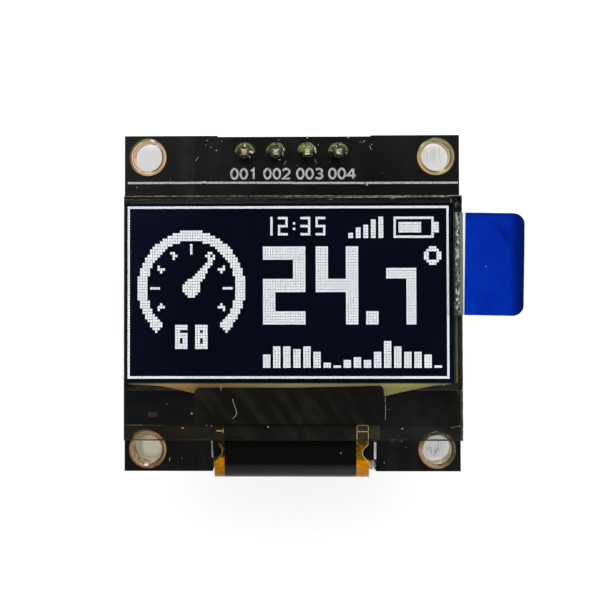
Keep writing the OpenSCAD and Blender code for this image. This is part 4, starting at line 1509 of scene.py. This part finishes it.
def dress_nodes():
    tin = mottled(
        "tinned", (0.5, 0.5, 0.49), (0.78, 0.78, 0.76), (0.24, 0.42), (8.0, 4.0, 0.65), (0.4, 0.03), 0.7,
    )
    mask = solder_mask("solder_mask", tone(13, 13, 12), tone(29, 29, 28), 0.35)
    dress("pcb", mask, board_edge())
    by_face("pcb", lambda middle, normal: 1 if abs(normal.z) < 0.5 else 0)
    dress("header_strip", moulded_plastic("header_plastic", (0.008, 0.008, 0.0085), 9.0, 0.55))
    dress("foam_tape", foam())
    dress("cap_glass", ground_glass())
    paste = mottled("drying_paste", (0.5, 0.49, 0.43), (0.7, 0.68, 0.6), 0.9, (9.0, 5.0, 0.7), (0.6, 0.03))
    dress("desiccant_sheet", paste)
    dress("seal_frame", seal_resin())
    dress("substrate_glass", panel_glass(), glass_edge())
    by_face("substrate_glass", lambda middle, normal: 1 if abs(normal.z) < 0.5 else 0)
    dress("polarizer", clear_sheet("polarizer_sheet", (0.7, 0.7, 0.71), 0.2, 0.06))
    dress("protective_film", clear_sheet("film_sheet", (0.97, 0.97, 0.98), 0.4, 0.05))
    silicon = mottled(
        "bare_silicon", (0.16, 0.16, 0.19), (0.28, 0.28, 0.32), 0.25, (5.0, 4.0, 0.7), metal=0.6,
    )
    dress("driver_chip", silicon)
    dress("ledge_tape", satin_black("tape_black", (15, 15, 13), (27, 26, 22)))
    dress("flex_circuit", polyimide())
    dress("flex_solder", tin)
    dress("chip_solder", tin)
    epoxy = moulded_plastic("moulded_epoxy", (0.009, 0.009, 0.009), 12.0, 0.6)
    for part in ("regulator", "diode"):
        dress(part + "_body", epoxy)
        dress(part + "_leads", tin)
    pin = mottled(
        "pin_gold", (0.78, 0.6, 0.3), (0.9, 0.78, 0.5), (0.22, 0.38), (9.0, 3.0), (0.25, 0.01), 0.85,
        stretch=(1, 1, 0.15),
    )
    ends = (
        pin,
        *(pin_face(f"pin_core_{i}", dark, light) for i, (dark, light) in enumerate(PIN_CORES, 1)),
        # The tapers are painted lit, half-lit and shaded copies of one face
        pin_face("pin_taper_bright", (112, 114, 84), (196, 196, 160)),
        pin_face("pin_taper_mid", (66, 66, 44), (124, 122, 88)),
        pin_face("pin_taper_dark", (28, 28, 20), (60, 58, 44)),
    )

    def tip_face(middle, normal):
        """Sides of the pin, its flat end, and the four tapers by the light they are in."""
        if normal.z < 0.3:
            return 0
        if normal.z > 0.97:
            return 1 + min(3, max(0, round(middle.x / PIN_PITCH + 1.5)))
        if normal.y < -0.3:
            return 7
        return 5 if normal.y > 0.3 else 6

    for i in FOURS:
        ring = extent(f"hole_plating_{i}")
        ring_r = (ring.x1 - ring.x0) / 2
        middle = ((ring.x0 + ring.x1) / 2, (ring.y0 + ring.y1) / 2)
        dress(f"hole_plating_{i}", plated_gold(i, *middle, HOLE_R, ring_r))
        dress(f"header_pin_{i}", *ends)
        by_face(f"header_pin_{i}", tip_face)
    tan = mottled("tan_ceramic", (0.27, 0.17, 0.09), (0.42, 0.29, 0.17), 0.55, (6.0, 5.0, 0.7), (0.4, 0.02))
    white = mottled(
        "white_ceramic", (0.55, 0.55, 0.52), (0.72, 0.72, 0.69), 0.5, (8.0, 4.0, 0.6), (0.3, 0.01),
    )
    glaze = moulded_plastic("resistor_glaze", (0.01, 0.01, 0.011), 8.0, 0.35)
    for i in CHIPS:
        dress_chip(f"capacitor_{i}", tan, tin, tan)
        dress_chip(f"resistor_{i}", white, tin, glaze)


# ---------------------------------------------------------------- the scene

FLOOR_SIZE = 1500


def build_floor():
    """A wide floor just behind the module's rearmost point, which isn't part of it."""
    bm = bmesh.new()
    half, z = FLOOR_SIZE / 2, cad_box[0].z / MM - 0.05
    for x, y in ((-half, -half), (half, -half), (half, half), (-half, half)):
        bm.verts.new((x * MM, y * MM, z * MM))
    bm.verts.ensure_lookup_table()
    bm.faces.new(bm.verts)
    mesh = bpy.data.meshes.new("floor")
    bm.to_mesh(mesh)
    bm.free()
    floor = bpy.data.objects.new("floor", mesh)
    mesh.materials.append(floor_white())
    scene.collection.objects.link(floor)


add_camera()
add_world()
scene.view_settings.view_transform = "Standard"
scene.cycles.transparent_max_bounces = 24
build_floor()
add_lamp("key", 150, 42, 0.11, (1.0, 0.98, 0.95))
add_lamp("fill", 220, 42, 0.08, (0.95, 0.97, 1.0))
add_lamp("low", 20, 25, 0.04, (1, 1, 1))
dress_nodes()
build_screen()
build_panel_marks()
build_glass_arris()
build_tab()
build_flex_marks()
build_flex_rims()
build_front_print()
build_pads()
build_joints()
build_dust()
build_rear_tracks()
build_rear_print()
